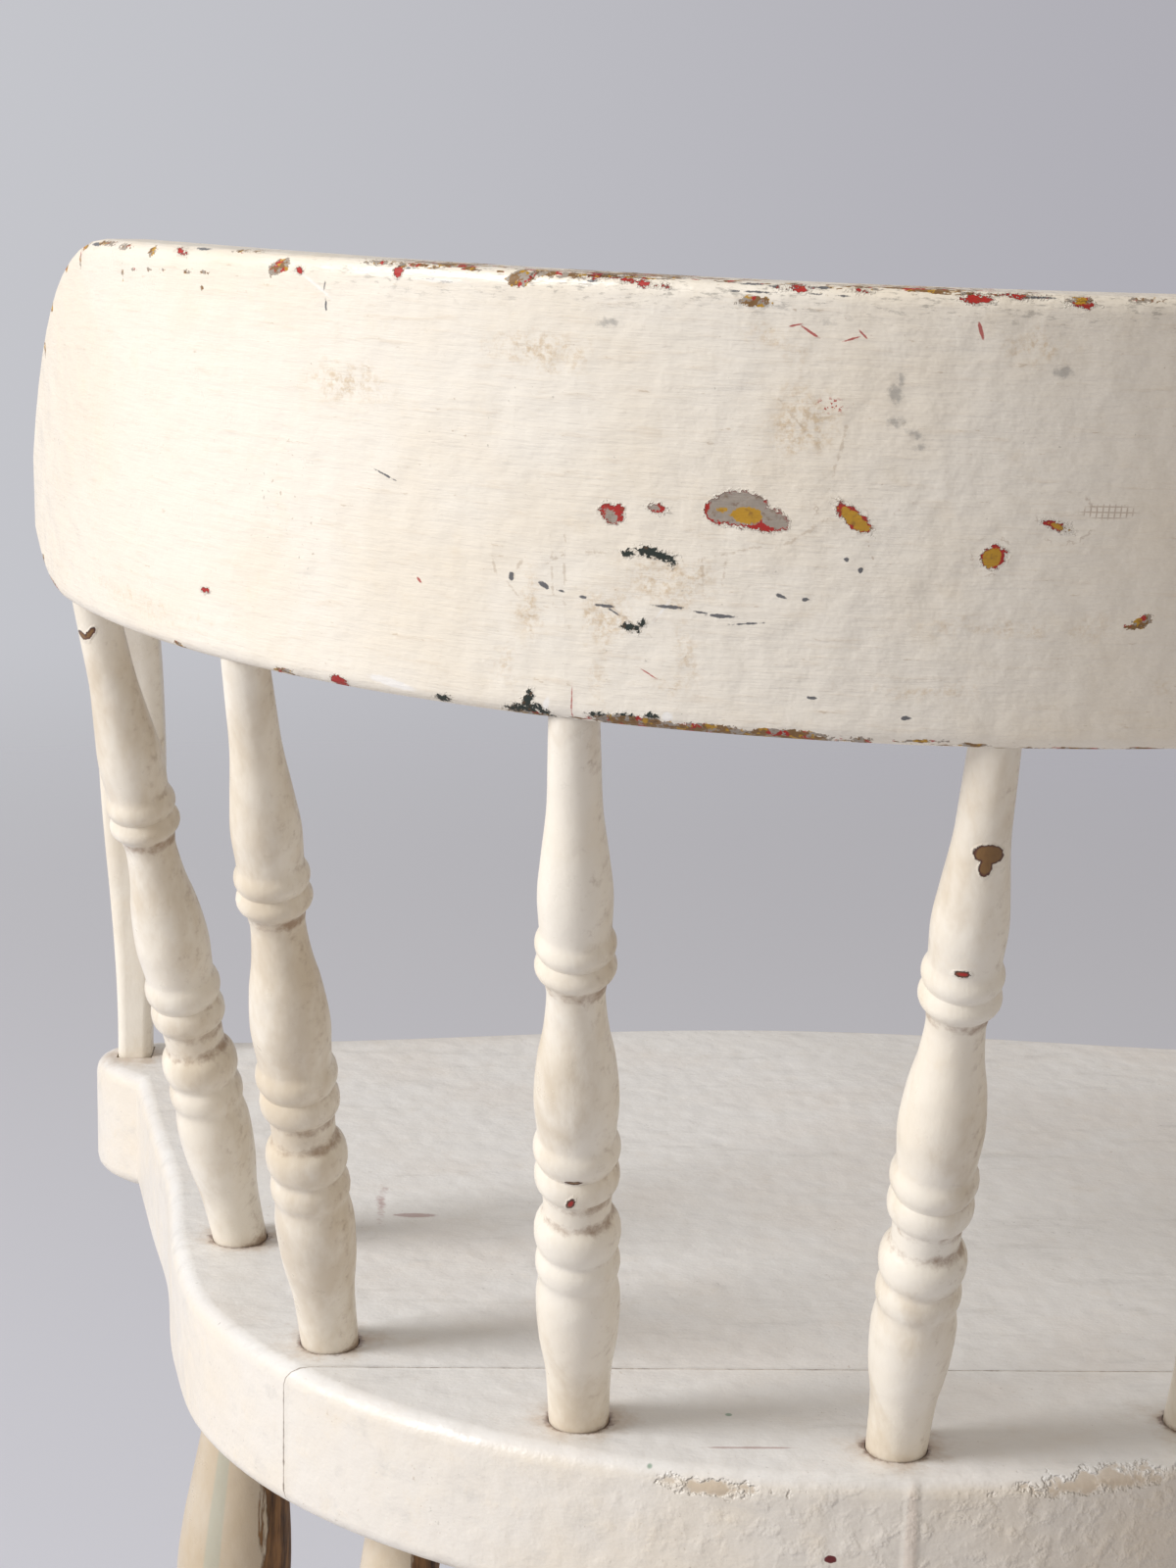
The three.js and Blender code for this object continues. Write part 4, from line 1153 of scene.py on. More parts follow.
# Painted highlights: pale lines along raised ridges of paint.
RIDGE_HIGHLIGHTS = (
    (-68.3, 27.0, 3.4, 0.25, -56), (-129.0, 3.4, 6.0, 1.0, 8), (-149.0, 88.2, 5.0, 0.4, 30),
    (-118.0, 90.6, 5.0, 0.4, 0), (-66.4, 3.4, 1.2, 1.1, 0), (-92.0, 3.6, 0.6, 1.6, 15),
)
DARK_CHIPS = (
    (-76.2, 38.1, 0.9, 0.7, 0), (-72.4, 38.9, 1.7, 0.9, 5), (-69.4, 38.2, 2.4, 0.8, 10),
    (-67.0, 37.3, 0.6, 1.0, 0), (-74.8, 22.4, 1.5, 0.7, 10), (-72.4, 23.4, 0.7, 0.6, 0),
    (-80.6, 2.2, 1.7, 0.6, 0), (-75.2, 2.6, 1.8, 0.6, 0), (-69.6, 3.0, 1.1, 0.9, 0),
    (-97.6, 1.4, 3.4, 1.2, 0), (-96.2, 3.8, 1.0, 2.0, 15), (-93.2, 1.8, 2.6, 0.7, 30),
    (-116.0, 1.6, 1.6, 0.8, 0),
)
SCRATCHES = (
    (-80.4, 26.5, 2.4, 0.35, 0), (-67.4, 27.5, 3.3, 0.4, 0), (-78.2, 25.3, 1.4, 0.3, 30),
    (-61.0, 26.9, 1.8, 0.25, 5), (-56.8, 26.4, 2.7, 0.45, 0), (-51.6, 25.2, 3.6, 0.22, -8),
    (-93.3, 29.7, 1.3, 0.6, 30), (-100.4, 30.8, 0.6, 1.1, 0), (-84.8, 27.9, 0.9, 0.35, 0),
    (-89.6, 28.8, 0.8, 0.25, 10), (-45.6, 31.5, 1.2, 0.4, 20), (-40.8, 31.2, 0.8, 0.4, 0),
    (-55.3, 93.3, 2.5, 0.25, 0), (-51.4, 93.1, 1.2, 0.3, 0), (-54.7, 91.9, 4.0, 0.2, 0),
    (-42.9, 93.2, 2.2, 0.3, 0), (-38.8, 91.9, 1.5, 0.2, 0), (-43.7, 92.0, 1.1, 0.2, 0),
    (-3.7, 92.9, 3.5, 0.25, 0), (-85.8, 92.3, 1.2, 0.2, 0), (-124.7, 92.6, 1.6, 0.2, 0),
    (-185.8, 93.3, 2.9, 0.3, 0), (-234.0, 92.4, 3.0, 0.5, 0), (-145.9, 87.7, 0.2, 1.0, 10),
    (-33.8, 40.0, 0.5, 0.5, 0), (-31.0, 37.8, 0.5, 0.7, 0), (-145.6, 84.0, 0.3, 1.1, 0),
    (-130.5, 49.5, 2.6, 0.2, 20), (-38.0, 10.0, 1.0, 0.4, 0), (-19.5, 6.6, 1.0, 0.5, 0),
)
GREY_SMUDGES = (
    (-27.8, 73.6, 1.3, 1.8, -20), (-26.8, 76.4, 0.8, 1.4, 0), (-27.0, 68.2, 1.7, 0.9, 0),
    (-23.4, 66.0, 1.6, 0.7, 30), (-22.2, 63.4, 0.9, 0.6, 0), (-54.6, 89.6, 3.6, 0.9, 0),
    (-82.0, 84.6, 2.2, 0.8, 0), (-40.8, 86.8, 1.0, 0.5, 0), (2.0, 79.0, 1.8, 1.2, 0),
)
RED_THREADS = (
    (-44.0, 84.8, 1.9, 0.28, 32), (-46.8, 86.0, 1.3, 0.2, -15), (-36.6, 83.8, 1.6, 0.2, -20),
    (-34.4, 84.7, 1.2, 0.2, 45), (-13.6, 86.4, 0.35, 1.8, -20), (-86.5, 4.0, 0.15, 3.4, 0),
    (-70.6, 12.6, 1.9, 0.15, 30), (-121.8, 27.5, 0.8, 0.3, 45),
)
RED_SPECKLE = ((-39.2, 70.8, 3.6, 2.0, 0),)
OCHRE_STAINS = (
    (-63.0, 17.0, 1.8, 5.0, -20), (-65.6, 10.4, 3.2, 1.3, -15), (-61.0, 31.0, 3.2, 1.2, 0),
    (-80.8, 10.2, 1.4, 2.8, 0), (-68.0, 33.0, 9.0, 5.0, 0), (-80.0, 24.0, 5.0, 6.0, 0),
    (-44.0, 67.0, 6.0, 7.0, 0), (-50.0, 82.5, 4.0, 1.6, 25), (-6.0, 26.8, 9.0, 1.0, 0),
    (-14.0, 12.5, 5.0, 0.8, 0), (-3.0, 84.0, 5.0, 2.5, 0), (-96.0, 25.0, 3.0, 6.0, 0),
    (-101.0, 12.0, 1.8, 3.5, 0), (-95.0, 78.0, 9.0, 3.0, 0), (-140.0, 68.0, 9.0, 3.5, 0),
    (-228.0, 10.3, 5.0, 0.5, 0), (-209.0, 10.2, 6.0, 0.5, 4), (-216.0, 7.0, 5.0, 0.4, 4),
    (30.0, 14.8, 1.2, 1.0, 0), (14.8, 27.5, 2.5, 1.5, 0), (-221.0, 10.0, 12.0, 1.2, 3),
)
LIFTED_PAINT = (
    (-35.0, 49.0, 6.6, 3.2, 22), (6.4, 50.0, 6.0, 5.6, 0), (-21.6, 53.3, 1.4, 1.7, 0),
    (-6.8, 42.0, 4.0, 4.5, 20),
)
TOP_EDGE_WEAR = (
    (-118.0, 93.6, 9.0, 0.5, 0), (-78.0, 93.7, 14.0, 0.4, 0), (-25.0, 93.6, 9.0, 0.4, 0),
    (60.0, 93.4, 14.0, 0.6, 0), (115.0, 92.8, 9.0, 1.0, 0), (255.0, 89.0, 6.0, 1.4, 10),
)
LOW_EDGE_WEAR = (
    (-58.0, 0.3, 25.0, 1.5, 0), (-16.0, 1.4, 3.4, 0.5, 0), (-6.0, 0.8, 3.0, 0.5, 0),
    (20.0, 0.1, 14.0, 0.5, 0), (-160.0, 0.8, 2.8, 0.9, 0), (70.0, 0.3, 10.0, 1.0, 0),
    (140.0, 0.2, 22.0, 0.8, 0), (230.0, 0.4, 14.0, 1.0, 0),
)


def on_face(marks, depth=5.0):
    """Marks on the plank's outer face, as centres and half sizes in the plank."""
    return [((along, OUTER_FACE, up), (half, depth, tall), turn) for along, up, half, tall, turn in marks]


def near(zone, marks):
    """The marks that can show between two places along the board."""
    low, high = zone
    reaches = [(mark, max(mark[2], mark[3]) + MARK_MARGIN) for mark in marks]
    return [mark for mark, reach in reaches if low - reach <= mark[0] <= high + reach]


def board_field(tree, vector, zone, marks, **settings):
    return marks_field(tree, vector, on_face(near(zone, marks), **settings))


def board_marks(tree, vector, zone, marks, amount, grain):
    return fray(tree, vector, board_field(tree, vector, zone, marks), amount, grain)


def flaked(tree, vector, zone, marks):
    """Marks on the board with coarse flakes broken from their edges, then fine crumbs."""
    return fray(tree, vector, board_marks(tree, vector, zone, marks, 2.2, 0.6), 1.6, 1.7)


def crest_dirt_and_shade(tree, vector, zone, color, height, streaks):
    """Stains, smudges, specks and dashes of dirt in the brushed coat; lifted paint with a faint edge of
    painted shade; painted highlights on ridges; a darker left end; painted shade to the right.
    """
    grain = noise(tree, stretched(tree, vector, 0.3, 1.0, 1.0), 0.9, 3.0, 0.65)
    color = blend(tree, ease(tree, streaks, 0.54, 0.76, 0.0, 0.22), color, STREAK_TONE)
    ochre = board_marks(tree, vector, zone, OCHRE_STAINS, 9.0, 0.3)
    blotch = noise(tree, vector, 0.8, 5.0, 0.7)
    stained = times(tree, ease(tree, ochre, 2.0, -3.0, 0.0, 0.62), ease(tree, blotch, 0.40, 0.66))
    color = blend(tree, stained, color, OCHRE_TONE)
    smudge = board_marks(tree, vector, zone, GREY_SMUDGES, 2.6, 0.9)
    color = blend(tree, ease(tree, smudge, 0.4, -0.8, 0.0, 0.5), color, SMUDGE_TONE)
    color = specked(tree, vector, color, 0.725, 0.4)
    dashes = ease(tree, plus(tree, grain, times(tree, streaks, 0.35)), 0.86, 0.94)
    color = blend(tree, times(tree, dashes, 0.35), color, DASH_TONE)

    lifted = board_marks(tree, vector, zone, LIFTED_PAINT, 5.0, 0.35)
    # Painted shade: a faint dark line along the edges of lifted paint.
    edge = ease(tree, maths(tree, "ABSOLUTE", lifted), 0.35, 0.0)
    edge = times(tree, edge, ease(tree, noise(tree, vector, 0.35, 2.0), 0.46, 0.62))
    color = blend(tree, times(tree, edge, 0.3), color, DIRT_AND_SHADE_TONE)
    tan = board_marks(tree, vector, zone, TAN_LINES, 2.2, 0.6)
    color = blend(tree, ease(tree, tan, 0.2, -0.2, 0.0, 0.3), color, TAN_TONE)
    # Painted highlights: pale lines where raised ridges of paint catch the light.
    ridge_highlight = board_marks(tree, vector, zone, RIDGE_HIGHLIGHTS, 0.8, 0.5)
    color = blend(tree, ease(tree, ridge_highlight, 0.2, -0.3, 0.0, 0.6), color, RIDGE_HIGHLIGHT_TONE)

    along, _, up = parts(tree, vector)
    # The board is made darker and warmer towards its left end.
    color = blend(tree, ease(tree, along, -130.0, -280.0, 0.0, 0.4), color, LEFT_END_TONE)
    # Painted shade: the board darkens towards its right, where its face turns away from the window.
    color = blend(tree, ease(tree, along, -20.0, 60.0, 0.0, 0.25), color, SHADED_RIGHT_TONE)
    dirty = noise(tree, stretched(tree, vector, 0.3, 1.0, 1.0), 1.1, 4.0, 0.7)
    dirty = times(tree, ease(tree, dirty, 0.54, 0.66), ease(tree, up, 84.0, 92.5, 0.0, 0.5))
    dirty = times(tree, dirty, ease(tree, along, -180.0, -120.0))
    color = blend(tree, dirty, color, EDGE_DIRT_TONE)
    pebbles = times(tree, noise(tree, vector, 0.2, 2.0, 0.5), ease(tree, along, -100.0, 10.0))
    return color, plus(tree, height, times(tree, pebbles, 0.28))


def crest_scratches(tree, vector, zone, color):
    """Threads and speckles of red, dark scratches, and the print of a woven cloth."""
    along, _, up = parts(tree, vector)
    thread = board_marks(tree, vector, zone, RED_THREADS, 0.35, 0.9)
    color = blend(tree, ease(tree, thread, 0.06, -0.06, 0.0, 0.85), color, RED_COAT)
    speckle = board_field(tree, vector, zone, RED_SPECKLE)
    dots = ease(tree, noise(tree, vector, 1.3, 2.0), 0.56, 0.60)
    color = blend(tree, times(tree, ease(tree, speckle, 0.0, -1.2), dots), color, SPECKLE_TONE)
    scratch = board_marks(tree, vector, zone, SCRATCHES, 0.7, 0.9)
    color = blend(tree, ease(tree, scratch, 0.05, -0.12, 0.0, 0.9), color, SCRATCH_TONE)
    cloth = board_field(tree, vector, zone, CLOTH_PRINT)
    warp, weft = [maths(tree, "SINE", times(tree, way, THREADS_PER_MM)) for way in (along, up)]
    weave = ease(tree, maths(tree, "MAXIMUM", warp, weft), 0.55, 0.95)
    weave = times(tree, weave, ease(tree, cloth, 0.3, -0.5))
    return blend(tree, times(tree, weave, 0.45), color, DIRT_AND_SHADE_TONE)


def crest_paint(number, zone):
    """The paint of one length of the board, with just the marks that can show there."""
    material, tree, shader = new_material(f"Crest paint {number}")
    vector = timber_places(tree)
    coat = use_group(tree, COAT, vector=vector, stretch=(0.10, 1.0, 1.0))
    color, height = coat["Color"], coat["Height"]
    streaks = noise(tree, stretched(tree, vector, 0.12, 1.0, 1.0), 0.6, 3.0, 0.7)
    height = plus(tree, height, times(tree, streaks, 0.22))
    color, height = crest_dirt_and_shade(tree, vector, zone, color, height, streaks)
    color = crest_scratches(tree, vector, zone, color)

    chips = flaked(tree, vector, zone, RED_CHIPS)
    grey = flaked(tree, vector, zone, GREY_INSIDE)
    mustard = board_marks(tree, vector, zone, MUSTARD_INSIDE, 1.8, 0.8)
    color, height, gone = lay_bare(tree, vector, color, height, chips, grey=grey, mustard=mustard)
    dark = board_marks(tree, vector, zone, DARK_CHIPS, 3.0, 1.1)
    color, height, mask = lay_bare(tree, vector, color, height, dark, grey=NONE_OF_IT,
                                   mustard=NONE_OF_IT, under_color=DARK_COAT)
    gone = maths(tree, "MAXIMUM", gone, mask)

    worn = board_field(tree, vector, zone, TOP_EDGE_WEAR + LOW_EDGE_WEAR, depth=11.0)
    worn = fray(tree, stretched(tree, vector, 0.35, 1, 1), worn, 4.2, 0.7)
    worn = maths(tree, "MINIMUM", worn, board_marks(tree, vector, zone, WOOD_CHIPS, 2.6, 1.0))
    grey = maths(tree, "SUBTRACT", noise(tree, vector, 0.5, 3.0, 0.6), 0.47)
    elsewhere = vector_maths(tree, "ADD", vector, (90, 0, 40))
    mustard = maths(tree, "SUBTRACT", noise(tree, elsewhere, 0.6, 3.0), 0.40)
    reddened = ease(tree, noise(tree, vector, 0.3, 2.0), 0.56, 0.60)
    under = blend(tree, reddened, EDGE_WOOD_TONE, RED_COAT)
    color, _, mask = lay_bare(tree, vector, color, height, worn, under_color=under,
                              grey=times(tree, grey, COAT_EDGE), mustard=times(tree, mustard, COAT_EDGE))
    gone = maths(tree, "MAXIMUM", gone, mask)
    roughness = plus(tree, coat["Roughness"], times(tree, gone, 0.25))
    finish_paint(tree, shader, color, roughness, height)
    return material


CREST_PAINTS = [crest_paint(number, zone) for number, zone in enumerate(CREST_ZONES, 1)]
print("crest marks:", len(RED_CHIPS) + len(DARK_CHIPS) + len(SCRATCHES) + len(TOP_EDGE_WEAR))

# %% [markdown]
# ## Paint on the turned and bent pieces
#
# The turnings have the same cream paint. Brown grime lies in the hollows beside the beads
# and round the feet of the spindles, and is painted heavier on the side away from the window
# as painted shade. A few knocks show brown and red. The legs have lost whole strips of paint
# down their sides away from the window, where the wood is almost black; that near-black is
# bare wood with painted shade on it.

# %% Turned paint
PATINA_TONE = (0.52, 0.40, 0.25, 1)
CHIP_WOOD_TONE = (0.20, 0.10, 0.025, 1)
CHIP_RIM_TONE = (0.09, 0.025, 0.012, 1)
STRIPE_TONE = (0.42, 0.45, 0.37, 1)
BLACK_WOOD_AND_SHADE_TONE = (0.03, 0.012, 0.004, 1)
BROWN_WOOD_AND_SHADE_TONE = (0.28, 0.14, 0.05, 1)


def chair_mark(across, forward, above_seat, half, turn=0.0):
    """A mark on the standing chair: its centre, half sizes and turn."""
    return (tuple(at(across, forward, above_seat) / MM), half, turn)


SPINDLE_CHIPS = [
    chair_mark(0.8, -74.4, 170.6, (3.4, 8.0, 2.2), 10), chair_mark(0.2, -73.5, 167.6, (1.4, 8.0, 2.4)),
    chair_mark(-1.8, -66.0, 141.6, (1.7, 8.0, 0.8)), chair_mark(-82.2, -24.4, 77.8, (1.9, 8.0, 0.6)),
    chair_mark(-83.0, -20.8, 72.0, (0.8, 8.0, 1.7), 20), chair_mark(-144.2, 56.0, 43.0, (0.7, 12.0, 0.6)),
    chair_mark(-206.2, 66.3, 188.4, (1.9, 3.0, 0.9), 38),
    chair_mark(-203.7, 66.3, 189.2, (2.3, 3.0, 0.85), -50),
]
SPINDLE_RED = [
    chair_mark(-82.8, -20.8, 72.4, (0.7, 8.0, 1.3), 20), chair_mark(-1.8, -66.0, 141.6, (1.4, 8.0, 0.5)),
]


def turned_paint(name, tone=CREAM, warm_tone=CREAM_WARM, aged=0.5, shaded_bare_from=None, stripe=False):
    """Cream paint on turned wood. Faces turned further right than a given share are painted near-black:
    bare dark wood with painted shade, on the side away from the window.
    """
    material, tree, shader = new_material(name)
    vector = chair_places(tree)
    rightward = facing(tree)["X"]
    coat = use_group(tree, COAT, vector=vector, stretch=(1.0, 1.0, 0.35), relief=0.6,
                     tone=tone, warm_tone=warm_tone)
    color, height = coat["Color"], coat["Height"]
    patina = noise(tree, stretched(tree, vector, 1, 1, 0.45), 0.05, 5.0, 0.62)
    patina = plus(tree, patina, ease(tree, parts(tree, vector)["X"], -50.0, -170.0, 0.0, 0.08))
    color = blend(tree, ease(tree, patina, 0.47, 0.72, 0.0, aged), color, PATINA_TONE)
    color = specked(tree, vector, color, 0.77, 0.16)

    hollow = tree.nodes.new("ShaderNodeAttribute")
    hollow.attribute_name = "hollow"
    depth = times(tree, ease(tree, hollow.outputs["Fac"], 0.7, 2.4), 0.40)
    # Painted shade: the grime is made heavier on faces turned to the right, away from the window.
    side = times(tree, ease(tree, rightward, -0.3, 0.9), 0.2)
    from_foot = maths(tree, "ABSOLUTE", parts(tree, timber_places(tree))["Z"])
    foot = ease(tree, from_foot, 4.5, 0.3, 0.0, 0.42)
    amount = plus(tree, plus(tree, depth, side), foot)
    grime_and_shade = use_group(tree, GRIME_AND_SHADE, vector=vector, amount=amount)["Mask"]
    color = blend(tree, times(tree, grime_and_shade, 0.68), color, DIRT_AND_SHADE_TONE)
    roughness = plus(tree, coat["Roughness"], times(tree, grime_and_shade, 0.2))

    chips = frayed(tree, vector, SPINDLE_CHIPS, 1.1, 0.6)
    red = frayed(tree, vector, SPINDLE_RED, 0.6, 0.9)
    under = blend(tree, ease(tree, red, 0.2, -0.2), CHIP_WOOD_TONE, RED_COAT)
    under = blend(tree, ease(tree, chips, -0.5, -0.1), under, CHIP_RIM_TONE)
    color, height, _ = lay_bare(tree, vector, color, height, chips, grey=NONE_OF_IT,
                                mustard=NONE_OF_IT, under_color=under)

    if stripe:
        far = maths(tree, "ABSOLUTE", plus(tree, rightward, 0.36))
        color = blend(tree, ease(tree, far, 0.17, 0.11, 0.0, 0.55), color, STRIPE_TONE)
    # Bare dark wood and painted shade: faces turned right, away from the window, go near-black.
    if shaded_bare_from is not None:
        streaks = noise(tree, stretched(tree, vector, 1, 1, 0.12), 0.3, 4.0, 0.65)
        faced = plus(tree, rightward, off_middle(tree, streaks, 0.9))
        bare_and_shaded = ease(tree, maths(tree, "SUBTRACT", faced, shaded_bare_from), -0.05, 0.05)
        wood = blend(tree, ease(tree, streaks, 0.3, 0.7), BLACK_WOOD_AND_SHADE_TONE, BROWN_WOOD_AND_SHADE_TONE)
        color = blend(tree, bare_and_shaded, color, wood)
        height = plus(tree, height, times(tree, bare_and_shaded, -0.4))
        roughness = plus(tree, roughness, times(tree, bare_and_shaded, 0.4))
    finish_paint(tree, shader, color, roughness, height)
    return material


LEG_TONE = (0.62, 0.54, 0.43, 1)
LEG_WARM = (0.57, 0.46, 0.32, 1)
SPINDLE_PAINT = turned_paint("Spindle paint")
ARM_PAINT = turned_paint("Arm paint", aged=0.22)
LEG_PAINTS = {
    "front_leg_left": turned_paint("Front left leg paint", LEG_TONE, LEG_WARM, 0.5, 0.55, stripe=True),
    "front_leg_right": turned_paint("Front right leg paint", LEG_TONE, LEG_WARM, 0.5, 0.72),
    "rear_leg_left": turned_paint("Rear left leg paint", LEG_TONE, LEG_WARM, 0.5, 0.25),
    "rear_leg_right": turned_paint("Rear right leg paint", LEG_TONE, LEG_WARM, 0.5, 0.62),
}
SCREW_PAINT = turned_paint("Painted screw")
SCREW_PAINT.node_tree.nodes["Principled BSDF"].inputs["Metallic"].default_value = 0.1
print("turned paints:", 3 + len(LEG_PAINTS))

# %% [markdown]
# ## The seat's paint
#
# The seat's top is worn and a little greyer than its edge. Each spindle foot stands in a
# ring of brown dirt, with a brown smear to its right that is partly dirt and partly painted
# shadow. The paint has cracked along the glue line, run down the rear edge in a drip, and
# crumbled along part of the upper edge.

# %% Seat paint
SEAT_TONE = (0.80, 0.785, 0.765, 1)
SEAT_TONE_WARM = (0.76, 0.71, 0.66, 1)
SIDE_TONE = (0.77, 0.72, 0.65, 1)
SIDE_TONE_WARM = (0.78, 0.68, 0.54, 1)
RUBBED_TONE = (0.52, 0.50, 0.47, 1)
SMEAR_AND_SHADOW_TONE = (0.42, 0.27, 0.13, 1)
RING_TONE = (0.13, 0.055, 0.025, 1)
CRACK_TONE = (0.16, 0.09, 0.045, 1)
STREAK_RED_TONE = (0.28, 0.09, 0.07, 1)
GREEN_TONE = (0.12, 0.26, 0.16, 1)
CRUMB_TONE = (0.40, 0.25, 0.09, 1)
DRIP_TONE = (0.74, 0.60, 0.50, 1)
SHADED_TONE = (0.54, 0.45, 0.37, 1)
RED_SPOT_TONE = (0.12, 0.008, 0.008, 1)
SEAT_STREAKS = [
    chair_mark(-132.0, 160.0, 0, (1.2, 12.0, 5.0)), chair_mark(-122.0, 152.0, 0, (7.0, 1.6, 5.0)),
    chair_mark(-36.0, -0.5, 0, (12.0, 0.5, 5.0)),
]
EDGE_CRUMBS = [
    chair_mark(48.0, -12.0, -2.5, (30.0, 5.0, 2.2), -2), chair_mark(-47.0, -14.0, -4.0, (12.0, 5.0, 1.6)),
    chair_mark(140.0, 46.0, -2.0, (16.0, 16.0, 2.0)), chair_mark(203.0, 260.0, -2.0, (12.0, 24.0, 2.0)),
]
DRIP = [chair_mark(1.6, -19.0, -22.0, (1.7, 4.0, 24.0))]
RED_SPOT = [chair_mark(-17.6, -19.0, -20.8, (1.6, 3.0, 1.1))]
GREEN_SPECKS = [chair_mark(-61.6, -8.6, 0, (0.8, 0.8, 2.0)), chair_mark(-40.0, 18.0, 0, (0.9, 0.9, 2.0))]


def foot_dirt_and_shadow():
    """Marks for the rings of dirt round the spindles' feet, and for brown smears round them, partly dirt
    and partly painted shadow falling to the right.
    """
    rings, smears_and_shadows = [], []
    for foot, top in spindle_axes:
        x, y, z = foot / MM
        rings.append(((x, y, z), (8.6, 8.6, 3.0), 0))
        # Painted shadow: a brown smear offset to the right of each foot, where its shadow falls.
        smears_and_shadows.append(((x + 5.0, y + 1.0, z), (9.0, 5.0, 3.0), 0))
        smears_and_shadows.append(((x, y, z), (11.5, 10.5, 3.0), 0))
    for sign in (-1, 1):
        smears_and_shadows.append(chair_mark(sign * ARM_FOOT_HALF, ARM_FOOT_Y - 4, 0, (13.0, 10.0, 3.0)))
    return rings, smears_and_shadows


def seat_paint():
    material, tree, shader = new_material("Seat paint")
    vector = chair_places(tree)
    across, forward, _ = parts(tree, vector)
    facing_up = ease(tree, facing(tree)["Z"], 0.3, 0.9)
    sides = maths(tree, "SUBTRACT", 1.0, facing_up)
    tone = blend(tree, facing_up, SIDE_TONE, SEAT_TONE)
    warm = blend(tree, facing_up, SIDE_TONE_WARM, SEAT_TONE_WARM)
    coat = use_group(tree, COAT, vector=vector, stretch=(0.35, 1.0, 1.0), tone=tone, warm_tone=warm)
    color = specked(tree, vector, coat["Color"], 0.72, 0.3)
    rubbed = noise(tree, stretched(tree, vector, 0.25, 1, 1), 0.12, 5.0, 0.7)
    color = blend(tree, ease(tree, rubbed, 0.52, 0.75, 0.0, 0.35), color, RUBBED_TONE)
    rings, smears_and_shadows = foot_dirt_and_shadow()
    # Dirt and painted shadow round the feet of the spindles and arms.
    smear_and_shadow = frayed(tree, vector, smears_and_shadows, 6.0, 0.16)
    color = blend(tree, ease(tree, smear_and_shadow, 1.5, -2.5, 0.0, 0.52), color, SMEAR_AND_SHADOW_TONE)
    ring = frayed(tree, vector, rings, 1.6, 0.4)
    color = blend(tree, ease(tree, ring, 0.35, -0.3, 0.0, 0.75), color, RING_TONE)

    crack_middle = at(0, GLUE_LINE_Y + GLUE_GAP / 2, 0).y / MM
    from_crack = maths(tree, "ABSOLUTE", maths(tree, "SUBTRACT", forward, crack_middle))
    from_crack = plus(tree, from_crack, times(tree, noise(tree, vector, 0.25, 4.0), 1.6))
    color = blend(tree, ease(tree, from_crack, 1.15, 0.5, 0.0, 0.75), color, CRACK_TONE)
    height = plus(tree, coat["Height"], ease(tree, from_crack, 2.4, 0.9, 0.0, 0.18))
    streak = frayed(tree, vector, SEAT_STREAKS, 6.0, 0.25)
    color = blend(tree, ease(tree, streak, 0.6, -1.4, 0.0, 0.55), color, STREAK_RED_TONE)
    green = marks_field(tree, vector, GREEN_SPECKS)
    color = blend(tree, ease(tree, green, 0.2, -0.3, 0.0, 0.7), color, GREEN_TONE)

    crumbs = frayed(tree, vector, EDGE_CRUMBS, 7.0, 0.22)
    color = blend(tree, ease(tree, crumbs, 0.2, -1.2, 0.0, 0.45), color, CRUMB_TONE)
    height = plus(tree, height, ease(tree, crumbs, 0.6, -0.6, 0.0, -0.5))
    drip = marks_field(tree, vector, DRIP)
    height = plus(tree, height, ease(tree, drip, 1.2, -1.4, 0.0, 0.4))
    color = blend(tree, ease(tree, drip, 0.3, -0.6, 0.0, 0.35), color, DRIP_TONE)
    shaded = times(tree, sides, ease(tree, across, -60.0, 160.0, 0.0, 0.38))
    color = blend(tree, shaded, color, SHADED_TONE)
    pitted = times(tree, ease(tree, noise(tree, vector, 0.22, 3.0, 0.5), 0.45, 0.75), sides)
    pitted = times(tree, pitted, ease(tree, across, -130.0, 60.0, 0.15, 1.0))
    height = plus(tree, height, times(tree, pitted, 0.35))
    spot = frayed(tree, vector, RED_SPOT, 0.6, 0.7)
    color = blend(tree, ease(tree, spot, 0.1, -0.1), color, RED_SPOT_TONE)
    finish_paint(tree, shader, color, plus(tree, coat["Roughness"], 0.06), height)
    return material


SEAT_PAINT = seat_paint()

# %% Put the paint on
def paint_by_length(piece, paints, borders):
    """Give each face the paint of the length of straight timber that it lies in."""
    timber = piece.data.attributes["timber"].data
    piece.data.materials.clear()
    for paint in paints:
        piece.data.materials.append(paint)
    for face in piece.data.polygons:
        along = sum(timber[corner].vector.x for corner in face.vertices) / len(face.vertices)
        face.material_index = int(np.searchsorted(borders, along))


paint_by_length(painted["crest_board"], CREST_PAINTS, CREST_BORDERS)
for name, piece in painted.items():
    if name == "crest_board":
        continue
    if name.startswith("seat"):
        paint = SEAT_PAINT
    elif name.startswith("arm_screw"):
        paint = SCREW_PAINT
    elif name.startswith("arm"):
        paint = ARM_PAINT
    else:
        paint = LEG_PAINTS.get(name, SPINDLE_PAINT)
    piece.data.materials.clear()
    piece.data.materials.append(paint)
    print(name, "->", paint.name)

# %% [markdown]
# ## The camera
#
# The picture was taken from behind the chair, a little to its left, with a long lens close
# to the crest board. The camera's place, its tilt and its slight roll were worked out from
# the spindles' feet, which stand a known distance apart on the flat seat.

# %% The camera
CAMERA_ACROSS, CAMERA_FORWARD, CAMERA_ABOVE_SEAT = -109.6, -655.0, 318.8
CAMERA_TURN = 0.04468
CAMERA_TILT = 0.22705
CAMERA_ROLL = 0.02461
FOCAL_PIXELS = 2945.0
PICTURE_HEIGHT = 1600.0
SENSOR_HEIGHT = 36.0

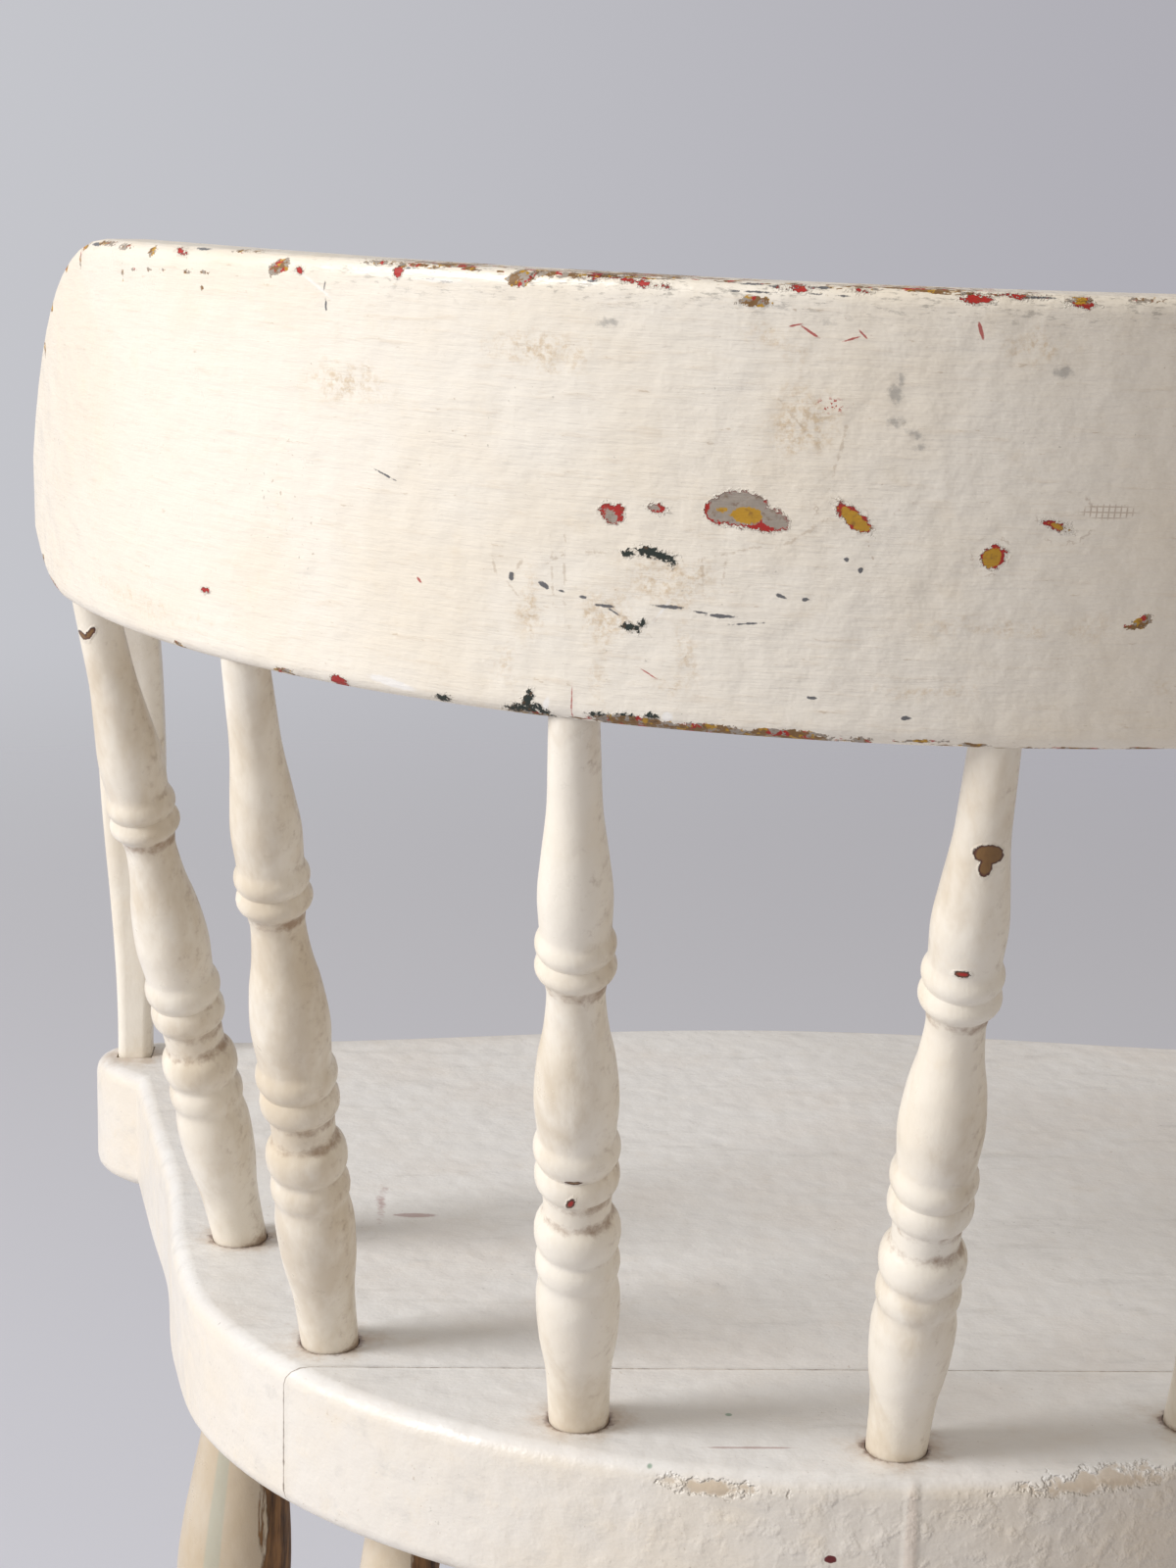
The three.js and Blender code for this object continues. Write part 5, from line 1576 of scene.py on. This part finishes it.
ahead = Vector((math.sin(CAMERA_TURN) * math.cos(CAMERA_TILT),
                math.cos(CAMERA_TURN) * math.cos(CAMERA_TILT), -math.sin(CAMERA_TILT)))
level_right = Vector((math.cos(CAMERA_TURN), -math.sin(CAMERA_TURN), 0))
level_up = level_right.cross(ahead)
right = level_right * math.cos(CAMERA_ROLL) + level_up * math.sin(CAMERA_ROLL)
up = level_up * math.cos(CAMERA_ROLL) - level_right * math.sin(CAMERA_ROLL)

lens = bpy.data.cameras.new("camera")
lens.sensor_fit = "VERTICAL"
lens.sensor_height = SENSOR_HEIGHT
lens.lens = FOCAL_PIXELS / PICTURE_HEIGHT * SENSOR_HEIGHT
lens.clip_start = 0.05
camera = bpy.data.objects.new("camera", lens)
turn = Matrix((right, up, -ahead)).transposed().to_4x4()
camera.matrix_world = Matrix.Translation(at(CAMERA_ACROSS, CAMERA_FORWARD, CAMERA_ABOVE_SEAT)) @ turn
scene.collection.objects.link(camera)
scene.camera = camera
print("lens:", round(lens.lens, 1), "mm")

# %% [markdown]
# ## Studio
#
# A pale floor runs back under the chair, and the backdrop is a pale blue grey that only the
# camera and clear or shining surfaces see; it is painted darker to the right as painted shade.
# One large soft window of light stands on the left, behind the chair's back, so the board
# darkens to the right, helped by painted shade in its paint, and the spindles throw soft
# shadows to the right across the seat.

# %% Floor, backdrop and light
BACKDROP_LEFT = (0.565, 0.57, 0.605, 1)
BACKDROP_SHADED_RIGHT = (0.42, 0.412, 0.452, 1)
ROOM_LIGHT = (0.45, 0.415, 0.372, 1)


def studio_floor():
    """A pale floor that fades into the backdrop well behind the chair."""
    floor = begin(bpy.ops.mesh.primitive_plane_add, size=12)
    floor.name = "studio_floor"
    material, tree, shader = new_material("Studio floor")
    vector = chair_places(tree)
    even = noise(tree, vector, 0.002, 2.0)
    shade = blend(tree, even, (0.68, 0.70, 0.79, 1), (0.70, 0.72, 0.80, 1))
    plug(tree, shader.inputs["Base Color"], shade)
    away = vector_maths(tree, "LENGTH", vector, (0, 0, 0))
    plug(tree, shader.inputs["Alpha"], ease(tree, away, 1300.0, 3500.0, 1.0, 0.0))
    shader.inputs["Roughness"].default_value = 0.9
    floor.data.materials.append(material)
    return floor


def studio_world():
    world = bpy.data.worlds.new("Studio")
    scene.world = world
    world.use_nodes = True
    tree = world.node_tree
    background = tree.nodes["Background"]
    path = tree.nodes.new("ShaderNodeLightPath")
    seen = maths(tree, "MAXIMUM", path.outputs["Is Camera Ray"], path.outputs["Is Glossy Ray"])
    seen = maths(tree, "MAXIMUM", seen, path.outputs["Is Transmission Ray"])
    way = tree.nodes.new("ShaderNodeTexCoord")
    across = parts(tree, way.outputs["Generated"])["X"]
    # Painted shade: the backdrop darkens from left to right, away from the window.
    backdrop = blend(tree, ease(tree, across, -0.25, 0.35), BACKDROP_LEFT, BACKDROP_SHADED_RIGHT)
    plug(tree, background.inputs["Color"], blend(tree, seen, ROOM_LIGHT, backdrop))
    background.inputs["Strength"].default_value = 1.0


def soft_light(name, place, aim, size, power, color):
    lamp = bpy.data.lights.new(name, "AREA")
    lamp.size = size
    lamp.energy = power
    lamp.color = color
    light = bpy.data.objects.new(name, lamp)
    light.location = place
    light.rotation_euler = (Vector(aim) - Vector(place)).to_track_quat("-Z", "Y").to_euler()
    scene.collection.objects.link(light)
    return light


studio_floor()
studio_world()
soft_light("window", (-2.77, -1.01, 2.085), (0, 0, 0.6), 1.2, 97, (0.98, 0.985, 1.0))
scene.view_settings.view_transform = "Standard"
